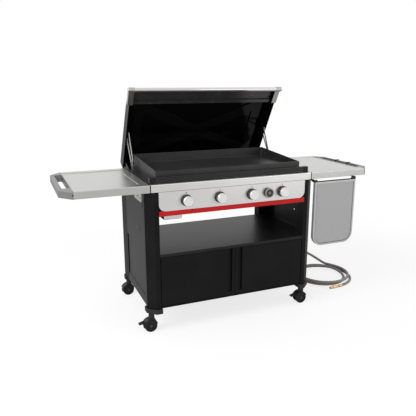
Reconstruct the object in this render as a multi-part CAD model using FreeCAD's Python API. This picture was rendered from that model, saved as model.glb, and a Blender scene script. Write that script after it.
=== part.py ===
"""Outdoor gas griddle station: wheeled cabinet, cookbox with a griddle, lid on four-bar arms, side tables.

Millimetres. X runs to the right, Y to the back and Z up. Everything is modelled with Y = 0 on the front
face of the trim rail and moved at the end: the origin lies on the floor in the middle of the station.
"""

import FreeCAD
import Part
import math
import os

V = FreeCAD.Vector

# Side tables and the trim rail between them
RAIL_LENGTH = 1030.0
SEAM_X = RAIL_LENGTH / 2
TABLE_TOP = 890.0
TABLE_HEIGHT = 42.0
TABLE_DEPTH = 614.0
TABLE_SHEET_LENGTH = 403.0
CAP_LENGTH = 69.0
CAP_CHAMFER_X = 63.0
CAP_CHAMFER_Y = 76.0
SEAM_GAP = 6.0
SHEET = 1.5
TABLE_LIP = 12.0
TABLE_EDGE_RADIUS = 4.0
TABLE_RECESS = 3.0
TABLE_RIM = 54.0
TABLE_INNER_RIM = 47.0
LUG_LENGTH = 116.0
LUG_WIDTH = 8.0
LUG_START = 178.0
CAP_WALL = 4.0
CAP_RIM_RADIUS = 6.0
HOOK_SLOT_END = 100.0
HOOK_BAR_WIDTH = 22.0
HOOK_PLACES = (242.0, 370.0)
HOOK_WALL = 3.0
HOOK_HALF_WIDTH = 8.0
HOOK_DROP = 22.0
HOOK_PEG_LENGTH = 16.0
HOOK_PEG_RADIUS = 3.0
TRIM_DEPTH = 33.0
BRACKET_SHEET = 3.0
BRACKET_DROP = 72.0
BRACKET_REACH = 150.0
BRACKET_HOLE_INSET = 24.0
BRACKET_HOLE_STEPS = (30.0, 90.0)
BRACKET_HOLE_RADIUS = 3.0
BRACKET_SPANS = ((84.0, 258.0), (420.0, 580.0))
BRACKET_CORNER_RADIUS = 22.0

# Cabinet columns, panels, shelf and doors
COLUMN_WIDTH = 73.0
COLUMN_OUTSET = 28.0
COLUMN_OUTER_X = SEAM_X + COLUMN_OUTSET
COLUMN_INNER_X = COLUMN_OUTER_X - COLUMN_WIDTH
COLUMN_FACE = 27.0
COLUMN_CHAMFER_DEPTH = 44.0
COLUMN_DEPTH = 72.0
COLUMN_BOTTOM = 155.0
REAR_COLUMN_DEPTH = 69.0
CABINET_DEPTH = 659.0
REAR_WING = 106.0
FOOT_CAP_HEIGHT = 32.0
FOOT_CAP_FLARE = 7.0
PANEL_BOTTOM = 165.0
PANEL_TOP_GAP = 2.0
PANEL_STEP = 4.5
PANEL_LOW_CREASE = 216.0
SHELF_TOP = 486.0
SHELF_LIP = 18.0
SHELF_FLANGE = 11.0
FLOOR_TOP = 164.5
FLOOR_LIP = 9.0
DOOR_SIDE_GAP = 3.5
DOOR_HALF_WIDTH = COLUMN_INNER_X - DOOR_SIDE_GAP
DOOR_BOTTOM = 168.0
DOOR_TOP = 465.0
DOOR_FRONT = 2.0
DOOR_THICKNESS = 18.0
DOOR_SHEET = 1.2
DOOR_MEETING_GAP = 2.0
PULL_STRIP = 18.0
PULL_WIDTH = 29.0
PULL_DEPTH = 14.0
PULL_SILL = 14.0
DOOR_PIN_RADIUS = 3.0
DOOR_PIN_INSET = 6.5
VENT_COUNT = 7
VENT_PITCH = 90.0
VENT_HALF_LENGTH = 30.0
VENT_BOTTOM = 396.0
VENT_WIDTH = 10.0

# Cookbox, griddle and burners
COOKBOX_SIDE_GAP = 1.5
COOKBOX_HALF_WIDTH = COLUMN_INNER_X - COOKBOX_SIDE_GAP
COOKBOX_FRONT = 58.0
COOKBOX_BACK = 590.0
COOKBOX_BOTTOM = 745.0
GRIDDLE_SIDE_GAP = 2.0
GRIDDLE_HALF_WIDTH = COOKBOX_HALF_WIDTH - GRIDDLE_SIDE_GAP
GRIDDLE_FRONT = 63.0
GRIDDLE_BACK = 562.0
GRIDDLE_PLATE = 6.0
GRIDDLE_WALL = 5.0
GRIDDLE_CORNER_RADIUS = 6.0
GRIDDLE_FLOOR = 926.0
GRIDDLE_FRONT_TOP = 954.0
GRIDDLE_BACK_TOP = 986.0
GREASE_SLOT_INSET = 86.5
GREASE_SLOT_X = -GRIDDLE_HALF_WIDTH + GREASE_SLOT_INSET
GREASE_SLOT_LENGTH = 100.0
GREASE_SLOT_WIDTH = 14.0
GREASE_DUCT_HALF = 57.0
FRONT_PANEL_Y = 33.0
FRONT_PANEL_BOTTOM = 892.0
FRONT_PANEL_TOP = 924.0
FRONT_PANEL_HALF = COOKBOX_HALF_WIDTH + 7.5
BLOCK_OUTER_X = SEAM_X - 5.0
BLOCK_GAP = 1.0
BLOCK_DEPTH = 28.0
SIDE_RAIL_TOP = 896.0
SIDE_RAIL_OUTER_X = SEAM_X - 3.0
BURNER_RADIUS = 11.0
BURNER_NECK_RADIUS = 8.0
BURNER_PORTS = 9
MANIFOLD_RADIUS = 9.0
MANIFOLD_Y = 36.0
VALVE_WIDTH = 24.0
VALVE_HEIGHT = 28.0

# Control panel, knobs and display
PANEL_HEIGHT = 111.0
PANEL_RADIUS = 38.0
PANEL_FLANGE = 20.0
KNOB_SPACING = 206.0
KNOB_Z = 790.0
KNOB_RADIUS = 31.0
KNOB_FACE_RADIUS = 28.0
KNOB_BASE = 6.0
KNOB_SKIRT = 5.0
KNOB_GROOVE = 2.5
KNOB_GRIP = 9.0
KNOB_LENGTH = 34.0
KNOB_FLUTES = 28
STEM_RADIUS = 4.0
DISPLAY_X = KNOB_SPACING + 7.0
DISPLAY_RADIUS = 29.0
DISPLAY_GLASS_RADIUS = 23.0
DISPLAY_LENGTH = 21.0
DISPLAY_RING = 4.0
DISPLAY_EDGE_RADIUS = 1.5
RED_RAIL_BOTTOM = 708.0
RED_RAIL_HEIGHT = 31.0
RED_RAIL_DEPTH = 14.0
TRAY_WIDTH = 194.0
TRAY_RIGHT_X = -COLUMN_INNER_X + TRAY_WIDTH
TRAY_TRAVEL = 250.0
TRAY_HELD = 50.0
TRAY_DEPTH = TRAY_TRAVEL + TRAY_HELD
CATCH_PAN_WIDTH = 112.0
CATCH_PAN_LENGTH = 180.0
CATCH_PAN_DEPTH = 30.0
CATCH_PAN_INSET = 30.0
CATCH_PAN_FRONT_GAP = 10.0
CATCH_PAN_CLEARANCE = 0.6
CATCH_PAN_CORNER_RADIUS = 8.0
CATCH_PAN_FLOOR_RADIUS = 6.0

# Lid in its closed place, and how far it opens
LID_SIDE_GAP = 10.0
LID_HALF_WIDTH = SEAM_X - LID_SIDE_GAP
LID_LENGTH = 618.0
LID_DEPTH = 82.5
LID_FRONT_HEIGHT = 30.0
LID_SLOPE = 175.0
LID_SHEET = 1.5
LID_EDGE_RADIUS = 12.0
LINER_DEPTH = 72.0
LINER_SHEET = 1.1
PRESS_GAP = 0.02
LID_CLOSED_CORNER = (4.5, 944.0)
LID_OPEN_CORNER = (422.0, 1377.3)
LID_OPEN_ANGLE = 59.3
HANDLE_RADIUS = 12.7
HANDLE_HALF_LENGTH = LID_HALF_WIDTH + 18.0
HANDLE_FORWARD = 16.1
HANDLE_DROP = 4.0
BRACKET_WIDTH = 34.0
BRACKET_LENGTH = 92.0
BRACKET_SIDE = 10.0
BRACKET_RISE = 22.0
CHANNEL_WIDTH = 103.0
CHANNEL_RISE = 26.0
CHANNEL_FRONT_GAP = 0.9
CHANNEL_BEAD = 9.0
LID_CORNER_RADIUS = 30.0
EMBOSS_HEIGHT = 10.0
EMBOSS_WIDTH = 67.0
STRIP_INNER_X = LID_HALF_WIDTH - 118.0
STRIP_WIDTH = 60.0
PRESS_FRONT_INSET = 6.0
PRESS_BACK_INSET = 45.0
CROSS_INSET = 36.0
LID_TAB_RISE = 32.0
HANDLE_BRACKET_SHEET = 2.0

# Arms of the lid
FRONT_ARM_LENGTH = 188.0
REAR_ARM_LENGTH = 158.0
FRONT_PIN_IN_LID = (303.9, 3.1)
REAR_PIN_IN_LID = (352.5, 1.2)
EAR_X = LID_HALF_WIDTH - 15.0
EAR_SHEET = 3.0
ARM_SHEET = 3.0
ARM_HALF_WIDTH = 6.5
ARM_GAP = 0.4
PIN_RADIUS = 4.0
PIN_CLEARANCE = 0.08
HEAD_RADIUS = 6.0
HEAD_HEIGHT = 1.2
OPEN_PIVOT_PLAY = 4.6
OPEN_EYE_RADIUS = 13.0

# Drop leaf on the right table
LEAF_WIDTH = 305.0
LEAF_HEIGHT = 416.0
LEAF_LEFT = SEAM_X + 13.0
LEAF_RIGHT = LEAF_LEFT + LEAF_WIDTH
LEAF_DROP = 16.0
LEAF_TOP = TABLE_TOP - TABLE_HEIGHT - LEAF_DROP
LEAF_BOTTOM = LEAF_TOP - LEAF_HEIGHT
LEAF_FRONT = -31.0
LEAF_THICKNESS = 23.0
LEAF_RADIUS = 70.0
LEAF_FRAME = 12.0
LEAF_AXIS = (LEAF_FRONT + 17.0, LEAF_TOP + 7.0)
LEAF_PIN_RADIUS = 3.0

# Casters
WHEEL_RADIUS = 37.5
WHEEL_WIDTH = 17.0
WHEEL_GAP = 15.0
CASTER_INSET = 27.0
CASTER_X = COLUMN_OUTER_X - CASTER_INSET
CASTER_FRONT_Y = COLUMN_DEPTH - 10.0
CASTER_REAR_Y = CABINET_DEPTH - CASTER_INSET
CASTER_TRAIL = 8.0
CASTER_NECK_RADIUS = 15.0
STEM_PIN_RADIUS = 5.5
STEM_PIN_LENGTH = 24.0
AXLE_RADIUS = 4.0
FENDER_THICKNESS = 3.0

# Gas hose: the coil lies in two layers on the floor and the free stretch runs from the inlet down to it
HOSE_DIAMETER = 19.0
COIL_CENTRE = (905.0, 376.0)
COIL_START_ANGLE = 32.0
COIL_START_RADIUS = 202.0
COIL_INNER_RADIUS = 160.0
COIL_END_RADIUS = 219.0
COIL_TURNS_IN = 1.1
COIL_TURNS = 840.0 / 360.0
COIL_LIFT = 0.3
COIL_LAYER = 20.0
HOSE_ROUTE = [
    (512.0, 678.0, 704.0),
    (512.0, 678.0, 628.0),
    (518.0, 681.0, 540.0),
    (540.0, 686.0, 455.0),
    (580.0, 690.0, 375.0),
    (636.0, 691.0, 306.0),
    (704.0, 687.0, 250.0),
    (776.0, 678.0, 200.0),
    (848.0, 662.0, 155.0),
    (912.0, 643.0, 118.0),
    (966.0, 621.0, 88.0),
    (1011.0, 588.0, 56.0),
]
HOSE_LANDING = 44.0

RUN_CLEARANCE = 0.3

# Recessed screws in the front and back faces of the end caps
CAP_SCREW_RADIUS = 5.0
CAP_SCREW_DEPTH = 3.0


def box(x, y, z):
    """Block between low and high values along each axis."""
    return Part.makeBox(x[1] - x[0], y[1] - y[0], z[1] - z[0], V(x[0], y[0], z[0]))


def polygon(points):
    return Part.Face(Part.makePolygon(points + points[:1]))


def prism_x(points, x):
    """Outline of (y, z) points, extruded along X."""
    return polygon([V(x[0], a, b) for a, b in points]).extrude(V(x[1] - x[0], 0, 0))


def prism_y(points, y):
    """Outline of (x, z) points, extruded along Y."""
    return polygon([V(a, y[0], b) for a, b in points]).extrude(V(0, y[1] - y[0], 0))


def prism_z(points, z):
    """Outline of (x, y) points, extruded along Z."""
    return polygon([V(a, b, z[0]) for a, b in points]).extrude(V(0, 0, z[1] - z[0]))


def rod(start, end, radius):
    axis = V(*end) - V(*start)
    return Part.makeCylinder(radius, axis.Length, V(*start), axis)


def tube(start, end, radius, bore):
    return rod(start, end, radius).cut(rod(start, end, bore))


def mirrored(shape):
    return shape.mirror(V(0, 0, 0), V(1, 0, 0))


def pair(shape):
    """The right-hand piece and its mirror image on the left."""
    return [shape, mirrored(shape)]


def edges_at(shape, **place):
    """Edges whose ends all lie at the given x, y or z."""
    found = []
    for edge in shape.Edges:
        ends = [vertex.Point for vertex in edge.Vertexes]
        if all(abs(getattr(p, axis) - value) < 1e-4 for p in ends for axis, value in place.items()):
            found.append(edge)
    return found


def slot_z(centre, length, width, z):
    """Solid of a round-ended slot that runs along X."""
    x, y = centre
    half = (length - width) / 2
    middle = box((x - half, x + half), (y - width / 2, y + width / 2), z)
    ends = [rod((x + side * half, y, z[0]), (x + side * half, y, z[1]), width / 2) for side in (-1, 1)]
    return middle.fuse(ends)


def rounded_plate_y(x, z, radius, y, rounded=("low",)):
    """Plate in the XZ plane whose lower or upper corners are round."""
    plate = box(x, y, z)
    edges = []
    for name, height in (("low", z[0]), ("high", z[1])):
        if name in rounded:
            edges += edges_at(plate, x=x[0], z=height) + edges_at(plate, x=x[1], z=height)
    return plate.makeFillet(radius, edges)


TABLE_BOTTOM = TABLE_TOP - TABLE_HEIGHT
TABLE_START = SEAM_X + SEAM_GAP / 2
CAP_START = TABLE_START + TABLE_SHEET_LENGTH
CAP_END = CAP_START + CAP_LENGTH
CAP_SCREW_X = CAP_START + (CAP_LENGTH - CAP_CHAMFER_X) / 2
CAP_SCREW_Z = TABLE_BOTTOM + TABLE_HEIGHT / 2
COLUMN_TOP = TABLE_BOTTOM
REAR_COLUMN_FRONT = CABINET_DEPTH - REAR_COLUMN_DEPTH


def table_sheet():
    """Folded top of the right table: pressed-in work surface, front and back flanges with return lips."""
    x = (TABLE_START, CAP_START)
    y = (0.0, TABLE_DEPTH)
    outer = box(x, y, (TABLE_BOTTOM, TABLE_TOP))
    long_edges = edges_at(outer, y=y[0], z=TABLE_TOP) + edges_at(outer, y=y[1], z=TABLE_TOP)
    outer = outer.makeFillet(TABLE_EDGE_RADIUS, long_edges)
    recess_x = (x[0] + TABLE_INNER_RIM, x[1] + SHEET)
    lugs = (x[0] + LUG_START, x[0] + LUG_START + LUG_LENGTH)

    def recess(grow, z):
        area = box(
            (recess_x[0] - grow, recess_x[1]), (TABLE_RIM - grow, TABLE_DEPTH - TABLE_RIM + grow), z,
        )
        reach = TABLE_RIM + LUG_WIDTH - grow
        for low, high in ((0, reach), (TABLE_DEPTH - reach, TABLE_DEPTH)):
            area = area.cut(box((lugs[0] + grow, lugs[1] - grow), (low, high), z))
        return area

    roof = TABLE_TOP - SHEET
    hollow = box((x[0] + SHEET, x[1] + SHEET), (SHEET, TABLE_DEPTH - SHEET), (TABLE_BOTTOM + SHEET, roof))
    hollow = hollow.cut(recess(SHEET, (roof - TABLE_RECESS, roof)))
    inner = box(
        (x[0] + TABLE_LIP, x[1] + SHEET), (TABLE_LIP, TABLE_DEPTH - TABLE_LIP),
        (TABLE_BOTTOM, TABLE_BOTTOM + SHEET),
    )
    pressed = recess(0.0, (TABLE_TOP - TABLE_RECESS, TABLE_TOP))
    return outer.cut(hollow.fuse(inner)).cut(pressed)


def end_cap():
    """Cast end of the right table, with a hook bar left standing outside a long slot."""
    deep = TABLE_DEPTH
    outline = [
        (CAP_START, 0), (CAP_END - CAP_CHAMFER_X, 0), (CAP_END, CAP_CHAMFER_Y),
        (CAP_END, deep - CAP_CHAMFER_Y), (CAP_END - CAP_CHAMFER_X, deep), (CAP_START, deep),
    ]
    body = prism_z(outline, (TABLE_BOTTOM, TABLE_TOP))
    upright = edges_at(body, x=CAP_END, y=CAP_CHAMFER_Y)
    upright += edges_at(body, x=CAP_END, y=deep - CAP_CHAMFER_Y)
    body = body.makeFillet(12.0, upright)
    rim = [edge for edge in edges_at(body, z=TABLE_TOP) if edge.BoundBox.XMax > CAP_START + 1e-3]
    body = body.makeFillet(CAP_RIM_RADIUS, rim)
    slot_x = (CAP_START + CAP_WALL, CAP_END - HOOK_BAR_WIDTH)
    slot = box(slot_x, (HOOK_SLOT_END, deep - HOOK_SLOT_END), (TABLE_BOTTOM - 1, TABLE_TOP + 1))
    slot = slot.makeFillet(8.0, [e for e in slot.Edges if e.BoundBox.ZLength > TABLE_HEIGHT])
    body = body.cut(slot)
    near = HOOK_SLOT_END - 8
    pocket = [
        (CAP_START + 5, 9), (CAP_END - 6, CAP_CHAMFER_Y + 3), (CAP_END - 6, near),
        (CAP_START + 5, near),
    ]
    for outline in (pocket, [(x, deep - y) for x, y in pocket]):
        body = body.cut(prism_z(outline, (TABLE_BOTTOM - 1, TABLE_TOP - 5)))
    for y, into in ((0.0, 1), (deep, -1)):
        seat = rod(
            (CAP_SCREW_X, y - into, CAP_SCREW_Z),
            (CAP_SCREW_X, y + into * CAP_SCREW_DEPTH, CAP_SCREW_Z), CAP_SCREW_RADIUS,
        )
        body = body.cut(seat)
    return body


def hook_clips():
    """Two small moulded hooks clipped over the bar of the right end cap."""
    clips = []
    bar = (CAP_END - HOOK_BAR_WIDTH, CAP_END)
    wrap = (bar[0] - HOOK_WALL, bar[1] + HOOK_WALL)
    tip = wrap[1] + HOOK_PEG_LENGTH
    for y in HOOK_PLACES:
        width = (y - HOOK_HALF_WIDTH, y + HOOK_HALF_WIDTH)
        outer = box(wrap, width, (TABLE_TOP - HOOK_DROP, TABLE_TOP + HOOK_WALL))
        inner = box(bar, (width[0] - 1, width[1] + 1), (TABLE_TOP - HOOK_DROP - 8, TABLE_TOP))
        peg = rod((wrap[1], y, TABLE_TOP - 16), (tip, y, TABLE_TOP - 12), HOOK_PEG_RADIUS)
        clips.append(outer.cut(inner).fuse(peg))
    return clips


def table_brackets():
    """Angle brackets that carry the tables on the cabinet columns, two at each side."""
    roof = TABLE_TOP - SHEET - TABLE_RECESS
    wall = (COLUMN_OUTER_X, COLUMN_OUTER_X + BRACKET_SHEET)
    low = TABLE_BOTTOM - BRACKET_DROP
    hole_z = low + BRACKET_HOLE_INSET
    pieces = []
    for y in BRACKET_SPANS:
        web = box(wall, y, (low, roof))
        corners = edges_at(web, y=y[0], z=low) + edges_at(web, y=y[1], z=low)
        web = web.makeFillet(BRACKET_CORNER_RADIUS, corners)
        shelf = box(
            (wall[0], TABLE_START + BRACKET_REACH), (y[0] + 10, y[1] - 10), (roof - BRACKET_SHEET, roof),
        )
        piece = web.fuse(shelf)
        for step in BRACKET_HOLE_STEPS:
            start = (wall[0] - 1, y[0] + step, hole_z)
            end = (wall[1] + 1, y[0] + step, hole_z)
            piece = piece.cut(rod(start, end, BRACKET_HOLE_RADIUS))
        pieces.append(piece)
    return pieces + [mirrored(piece) for piece in pieces]


def front_rail():
    """Trim rail between the tables: channel open at the back."""
    x = (-SEAM_X + SEAM_GAP / 2, SEAM_X - SEAM_GAP / 2)
    rail = box(x, (0, TRIM_DEPTH), (TABLE_BOTTOM, TABLE_TOP))
    rail = rail.makeFillet(TABLE_EDGE_RADIUS, edges_at(rail, y=0, z=TABLE_TOP))
    return rail.cut(
        box(
            (x[0] + SHEET, x[1] - SHEET), (SHEET, TRIM_DEPTH + 1),
            (TABLE_BOTTOM + SHEET, TABLE_TOP - SHEET),
        )
    )


def front_outline(grow):
    """Plan outline of the front right column."""
    low, high = COLUMN_INNER_X - grow, COLUMN_OUTER_X + grow
    face = COLUMN_INNER_X + COLUMN_FACE + grow * 0.4
    return [
        (low, -grow), (face, -grow), (high, COLUMN_CHAMFER_DEPTH - grow * 0.4),
        (high, COLUMN_DEPTH + grow), (low, COLUMN_DEPTH + grow),
    ]


def rear_outline(grow):
    """Plan outline of the rear right column."""
    low, high = COLUMN_INNER_X - grow, COLUMN_OUTER_X + grow
    face = COLUMN_INNER_X + COLUMN_FACE + grow * 0.4
    back = CABINET_DEPTH + grow
    chamfer = CABINET_DEPTH - COLUMN_CHAMFER_DEPTH + grow * 0.4
    return [
        (low, REAR_COLUMN_FRONT - grow), (high, REAR_COLUMN_FRONT - grow), (high, chamfer),
        (face, back), (low, back),
    ]


def column(outline):
    """Folded steel column of the given plan outline, open at both ends."""
    z = (COLUMN_BOTTOM, COLUMN_TOP)
    return prism_z(outline(0.0), z).cut(prism_z(outline(-SHEET), (z[0] - 1, z[1] + 1)))


def front_columns():
    return pair(column(front_outline))


def rear_columns():
    """Rear columns, each with the wing that closes the back part of the side."""
    wing = box(
        (COLUMN_OUTER_X - SHEET, COLUMN_OUTER_X), (REAR_COLUMN_FRONT - REAR_WING, REAR_COLUMN_FRONT),
        (COLUMN_BOTTOM, COLUMN_TOP),
    )
    return pair(column(rear_outline).fuse(wing).removeSplitter())


def caster_spots():
    """Name, stem axis (x, y) and whether the caster has a brake."""
    return [
        ("front_left", -CASTER_X, CASTER_FRONT_Y, True),
        ("front_right", CASTER_X, CASTER_FRONT_Y, True),
        ("rear_left", -CASTER_X, CASTER_REAR_Y, False),
        ("rear_right", CASTER_X, CASTER_REAR_Y, False),
    ]


FOOT_CAP_BOTTOM = COLUMN_BOTTOM - FOOT_CAP_HEIGHT


def foot_caps():
    """Moulded shoes under the columns, each with the socket of its caster."""
    caps = []
    for outline, y in ((front_outline, CASTER_FRONT_Y), (rear_outline, CASTER_REAR_Y)):
        flared = outline(FOOT_CAP_FLARE)
        cap = prism_z(flared, (FOOT_CAP_BOTTOM, COLUMN_BOTTOM))
        boss = rod((CASTER_X, y, FOOT_CAP_BOTTOM), (CASTER_X, y, COLUMN_BOTTOM), CASTER_NECK_RADIUS + 1.5)
        cap = cap.makeChamfer(5.0, edges_at(cap, z=FOOT_CAP_BOTTOM)).fuse(boss)
        bore = rod(
            (CASTER_X, y, FOOT_CAP_BOTTOM - 1), (CASTER_X, y, FOOT_CAP_BOTTOM + STEM_PIN_LENGTH + 1),
            STEM_PIN_RADIUS + PIN_CLEARANCE,
        )
        caps += pair(cap.cut(bore).removeSplitter())
    return caps


def side_panel():
    """Right side panel: one folded sheet with a ledge at the shelf and a crease near the floor."""
    outer = COLUMN_OUTER_X
    inset = outer - PANEL_STEP
    top = COLUMN_TOP - PANEL_TOP_GAP
    profile = [
        (outer, PANEL_BOTTOM), (outer, PANEL_LOW_CREASE), (inset, PANEL_LOW_CREASE + PANEL_STEP),
        (inset, SHELF_TOP), (outer, SHELF_TOP + PANEL_STEP), (outer, top), (outer - 14, top),
        (outer - 14, top - SHEET), (outer - SHEET, top - SHEET),
        (outer - SHEET, SHELF_TOP + PANEL_STEP + 0.6), (inset - SHEET, SHELF_TOP + 0.6),
        (inset - SHEET, PANEL_LOW_CREASE + PANEL_STEP - 0.6),
        (outer - SHEET, PANEL_LOW_CREASE - 0.6), (outer - SHEET, PANEL_BOTTOM),
    ]
    panel = prism_y(profile, (COLUMN_DEPTH, REAR_COLUMN_FRONT - REAR_WING))
    through = (outer - 20, outer + 2)
    hole_y, hole_z = COLUMN_DEPTH + 150.0, SHELF_TOP + 116.0
    for y, low in ((COLUMN_DEPTH + 6, COLUMN_TOP - 96), (COLUMN_DEPTH + 78, SHELF_TOP + 106)):
        panel = panel.cut(box(through, (y - 3, y + 3), (low, low + 37)))
    return panel.cut(rod((through[0], hole_y, hole_z), (through[1], hole_y, hole_z), 4.5))


def side_panels():
    return pair(side_panel())


def bay_outline(front, back, inner_x):
    """Plan outline of a sheet that fills the cabinet and is notched round the columns."""
    notch_front = COLUMN_DEPTH
    right = [
        (COLUMN_INNER_X, front), (COLUMN_INNER_X, notch_front), (inner_x, notch_front), (inner_x, back),
    ]
    return right + [(-x, y) for x, y in reversed(right)]


def mid_shelf():
    """Open shelf above the doors, with a folded front lip and upturned sides."""
    inner = COLUMN_OUTER_X - PANEL_STEP - SHEET
    back = REAR_COLUMN_FRONT - 6
    plate = prism_z(bay_outline(1.0, back, inner), (SHELF_TOP - SHEET, SHELF_TOP))
    lip = box((-COLUMN_INNER_X, COLUMN_INNER_X), (1.0, 1.0 + SHEET), (SHELF_TOP - SHELF_LIP, SHELF_TOP))
    turn = box((inner - SHEET, inner), (COLUMN_DEPTH, back), (SHELF_TOP - SHEET, SHELF_TOP + 0.5))
    side = box((inner - SHEET, inner), (COLUMN_DEPTH, back), (SHELF_TOP - SHELF_FLANGE, SHELF_TOP))
    hem = box(
        (-COLUMN_INNER_X, COLUMN_INNER_X), (back - SHEET, back), (SHELF_TOP - SHELF_FLANGE, SHELF_TOP),
    )
    shelf = plate.fuse([lip, turn, mirrored(turn), side, mirrored(side), hem])
    for x in (-DOOR_HALF_WIDTH + DOOR_PIN_INSET, DOOR_HALF_WIDTH - DOOR_PIN_INSET):
        shelf = shelf.fuse(
            rod((x, DOOR_AXIS_Y, SHELF_TOP - 0.5), (x, DOOR_AXIS_Y, DOOR_TOP - 8), DOOR_PIN_RADIUS)
        )
    return shelf.removeSplitter()


DOOR_AXIS_Y = DOOR_FRONT + DOOR_PIN_INSET


def cabinet_floor():
    """Bottom sheet with the low rail under the doors and the lower door pins."""
    inner = COLUMN_OUTER_X - SHEET
    back = REAR_COLUMN_FRONT - 6
    z = (FLOOR_TOP - SHEET, FLOOR_TOP)
    plate = prism_z(bay_outline(4.0, back, inner), z)
    lip = box((-COLUMN_INNER_X, COLUMN_INNER_X), (4.0, 4.0 + SHEET), (FLOOR_TOP - FLOOR_LIP, FLOOR_TOP))
    side = box((inner - SHEET, inner), (COLUMN_DEPTH, back), (FLOOR_TOP - SHEET, FLOOR_TOP + FLOOR_LIP))
    floor = plate.fuse([lip, side, mirrored(side)])
    for x in (-DOOR_HALF_WIDTH + DOOR_PIN_INSET, DOOR_HALF_WIDTH - DOOR_PIN_INSET):
        floor = floor.fuse(
            rod((x, DOOR_AXIS_Y, FLOOR_TOP - 1.0), (x, DOOR_AXIS_Y, DOOR_BOTTOM + 8), DOOR_PIN_RADIUS)
        )
    return floor.removeSplitter()


def cabinet_back():
    """Back sheet of the closed lower cabinet, with vent slots."""
    y = (REAR_COLUMN_FRONT - 6, REAR_COLUMN_FRONT - 6 + SHEET)
    sheet = box(
        (-COLUMN_OUTER_X + SHEET, COLUMN_OUTER_X - SHEET), y,
        (FLOOR_TOP - FLOOR_LIP, SHELF_TOP - SHELF_FLANGE - 0.5),
    )
    for k in range(VENT_COUNT):
        x = (k - (VENT_COUNT - 1) / 2) * VENT_PITCH
        length = (x - VENT_HALF_LENGTH, x + VENT_HALF_LENGTH)
        vent = box(length, (y[0] - 1, y[1] + 1), (VENT_BOTTOM, VENT_BOTTOM + VENT_WIDTH))
        across = [e for e in vent.Edges if e.BoundBox.YLength > 1]
        sheet = sheet.cut(vent.makeFillet(VENT_WIDTH / 2 - 0.1, across))
    return sheet


def door():
    """Right door: folded pan with a full-height finger pull beside its meeting edge."""
    x = (DOOR_MEETING_GAP / 2, DOOR_HALF_WIDTH)
    y = (DOOR_FRONT, DOOR_FRONT + DOOR_THICKNESS)
    z = (DOOR_BOTTOM, DOOR_TOP)
    outer = box(x, y, z)
    outer = outer.makeFillet(1.5, [e for e in edges_at(outer, y=y[0]) if e.BoundBox.ZLength > 1])
    pull_x = (x[0] + PULL_STRIP, x[0] + PULL_STRIP + PULL_WIDTH)
    pull_z = (z[0] + PULL_SILL, z[1] + 1)
    sheet = DOOR_SHEET
    pull = prism_x(
        [
            (y[0] - 1, pull_z[0]), (y[0] + PULL_DEPTH, pull_z[0] + 12), (y[0] + PULL_DEPTH, pull_z[1]),
            (y[0] - 1, pull_z[1]),
        ],
        pull_x,
    )
    around = box(
        (pull_x[0] - sheet, pull_x[1] + sheet), (y[0], y[0] + PULL_DEPTH + sheet),
        (pull_z[0] - sheet, z[1]),
    )
    hollow = box(
        (x[0] + sheet, x[1] - sheet), (y[0] + sheet, y[1] + 1), (z[0] + sheet, z[1] - sheet),
    ).cut(around)
    leaf = outer.cut(hollow).cut(pull)
    axis = DOOR_HALF_WIDTH - DOOR_PIN_INSET
    for low in (z[0] - 1, z[1] - 9):
        leaf = leaf.cut(
            rod(
                (axis, DOOR_AXIS_Y, low), (axis, DOOR_AXIS_Y, low + 10), DOOR_PIN_RADIUS + PIN_CLEARANCE,
            )
        )
    return leaf


def cookbox_shell():
    """Enamelled fire box under the griddle: open top, burner holes in front, flue slots behind."""
    x = (-COOKBOX_HALF_WIDTH, COOKBOX_HALF_WIDTH)
    y = (COOKBOX_FRONT, COOKBOX_BACK)
    z = (COOKBOX_BOTTOM, GRIDDLE_FLOOR - GRIDDLE_PLATE)
    shell = box(x, y, z).cut(
        box((x[0] + SHEET, x[1] - SHEET), (y[0] + SHEET, y[1] - SHEET), (z[0] + SHEET, z[1] + 1))
    )
    for k in range(4):
        centre = (k - 1.5) * KNOB_SPACING
        hole = rod((centre, y[0] - 1, KNOB_Z), (centre, y[0] + 5, KNOB_Z), BURNER_NECK_RADIUS + 3)
        flue = box((centre - 60, centre + 60), (y[1] - 5, y[1] + 1), (z[1] - 34, z[1] - 14))
        air = box((centre + 60, centre + 120), (y[0] + 120, y[1] - 120), (z[0] - 1, z[0] + 5))
        shell = shell.cut(hole).cut(flue).cut(air)
    x0, x1 = GREASE_SLOT_X - GREASE_DUCT_HALF, GREASE_SLOT_X + GREASE_DUCT_HALF
    duct = box((x0, x1), (y[0] + 6.0, y[0] + 40.0), (z[0] - 4.0, z[1]))
    bore = box((x0 + 1, x1 - 1), (y[0] + 7.0, y[0] + 39.0), (z[0] - 5.0, z[1] + 1))
    return shell.fuse([duct] + tray_guides()).cut(bore).removeSplitter()


def cookbox_front_panel():
    """Black strip between the trim rail and the griddle, with its top folded back."""
    x = (-FRONT_PANEL_HALF, FRONT_PANEL_HALF)
    z = (FRONT_PANEL_BOTTOM, FRONT_PANEL_TOP)
    strip = box(x, (FRONT_PANEL_Y, GRIDDLE_FRONT - 0.5), z)
    hollow = box(
        (x[0] + SHEET, x[1] - SHEET), (FRONT_PANEL_Y + SHEET, GRIDDLE_FRONT + 1),
        (z[0] - 1, z[1] - SHEET),
    )
    strip = strip.makeFillet(2.0, edges_at(strip, y=FRONT_PANEL_Y, z=z[1])).cut(hollow)
    catch = box((57.0, 77.0), (GRIDDLE_FRONT - 9.0, GRIDDLE_FRONT - 0.5), (z[1], z[1] + 4.0))
    return strip.fuse(catch)


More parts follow.
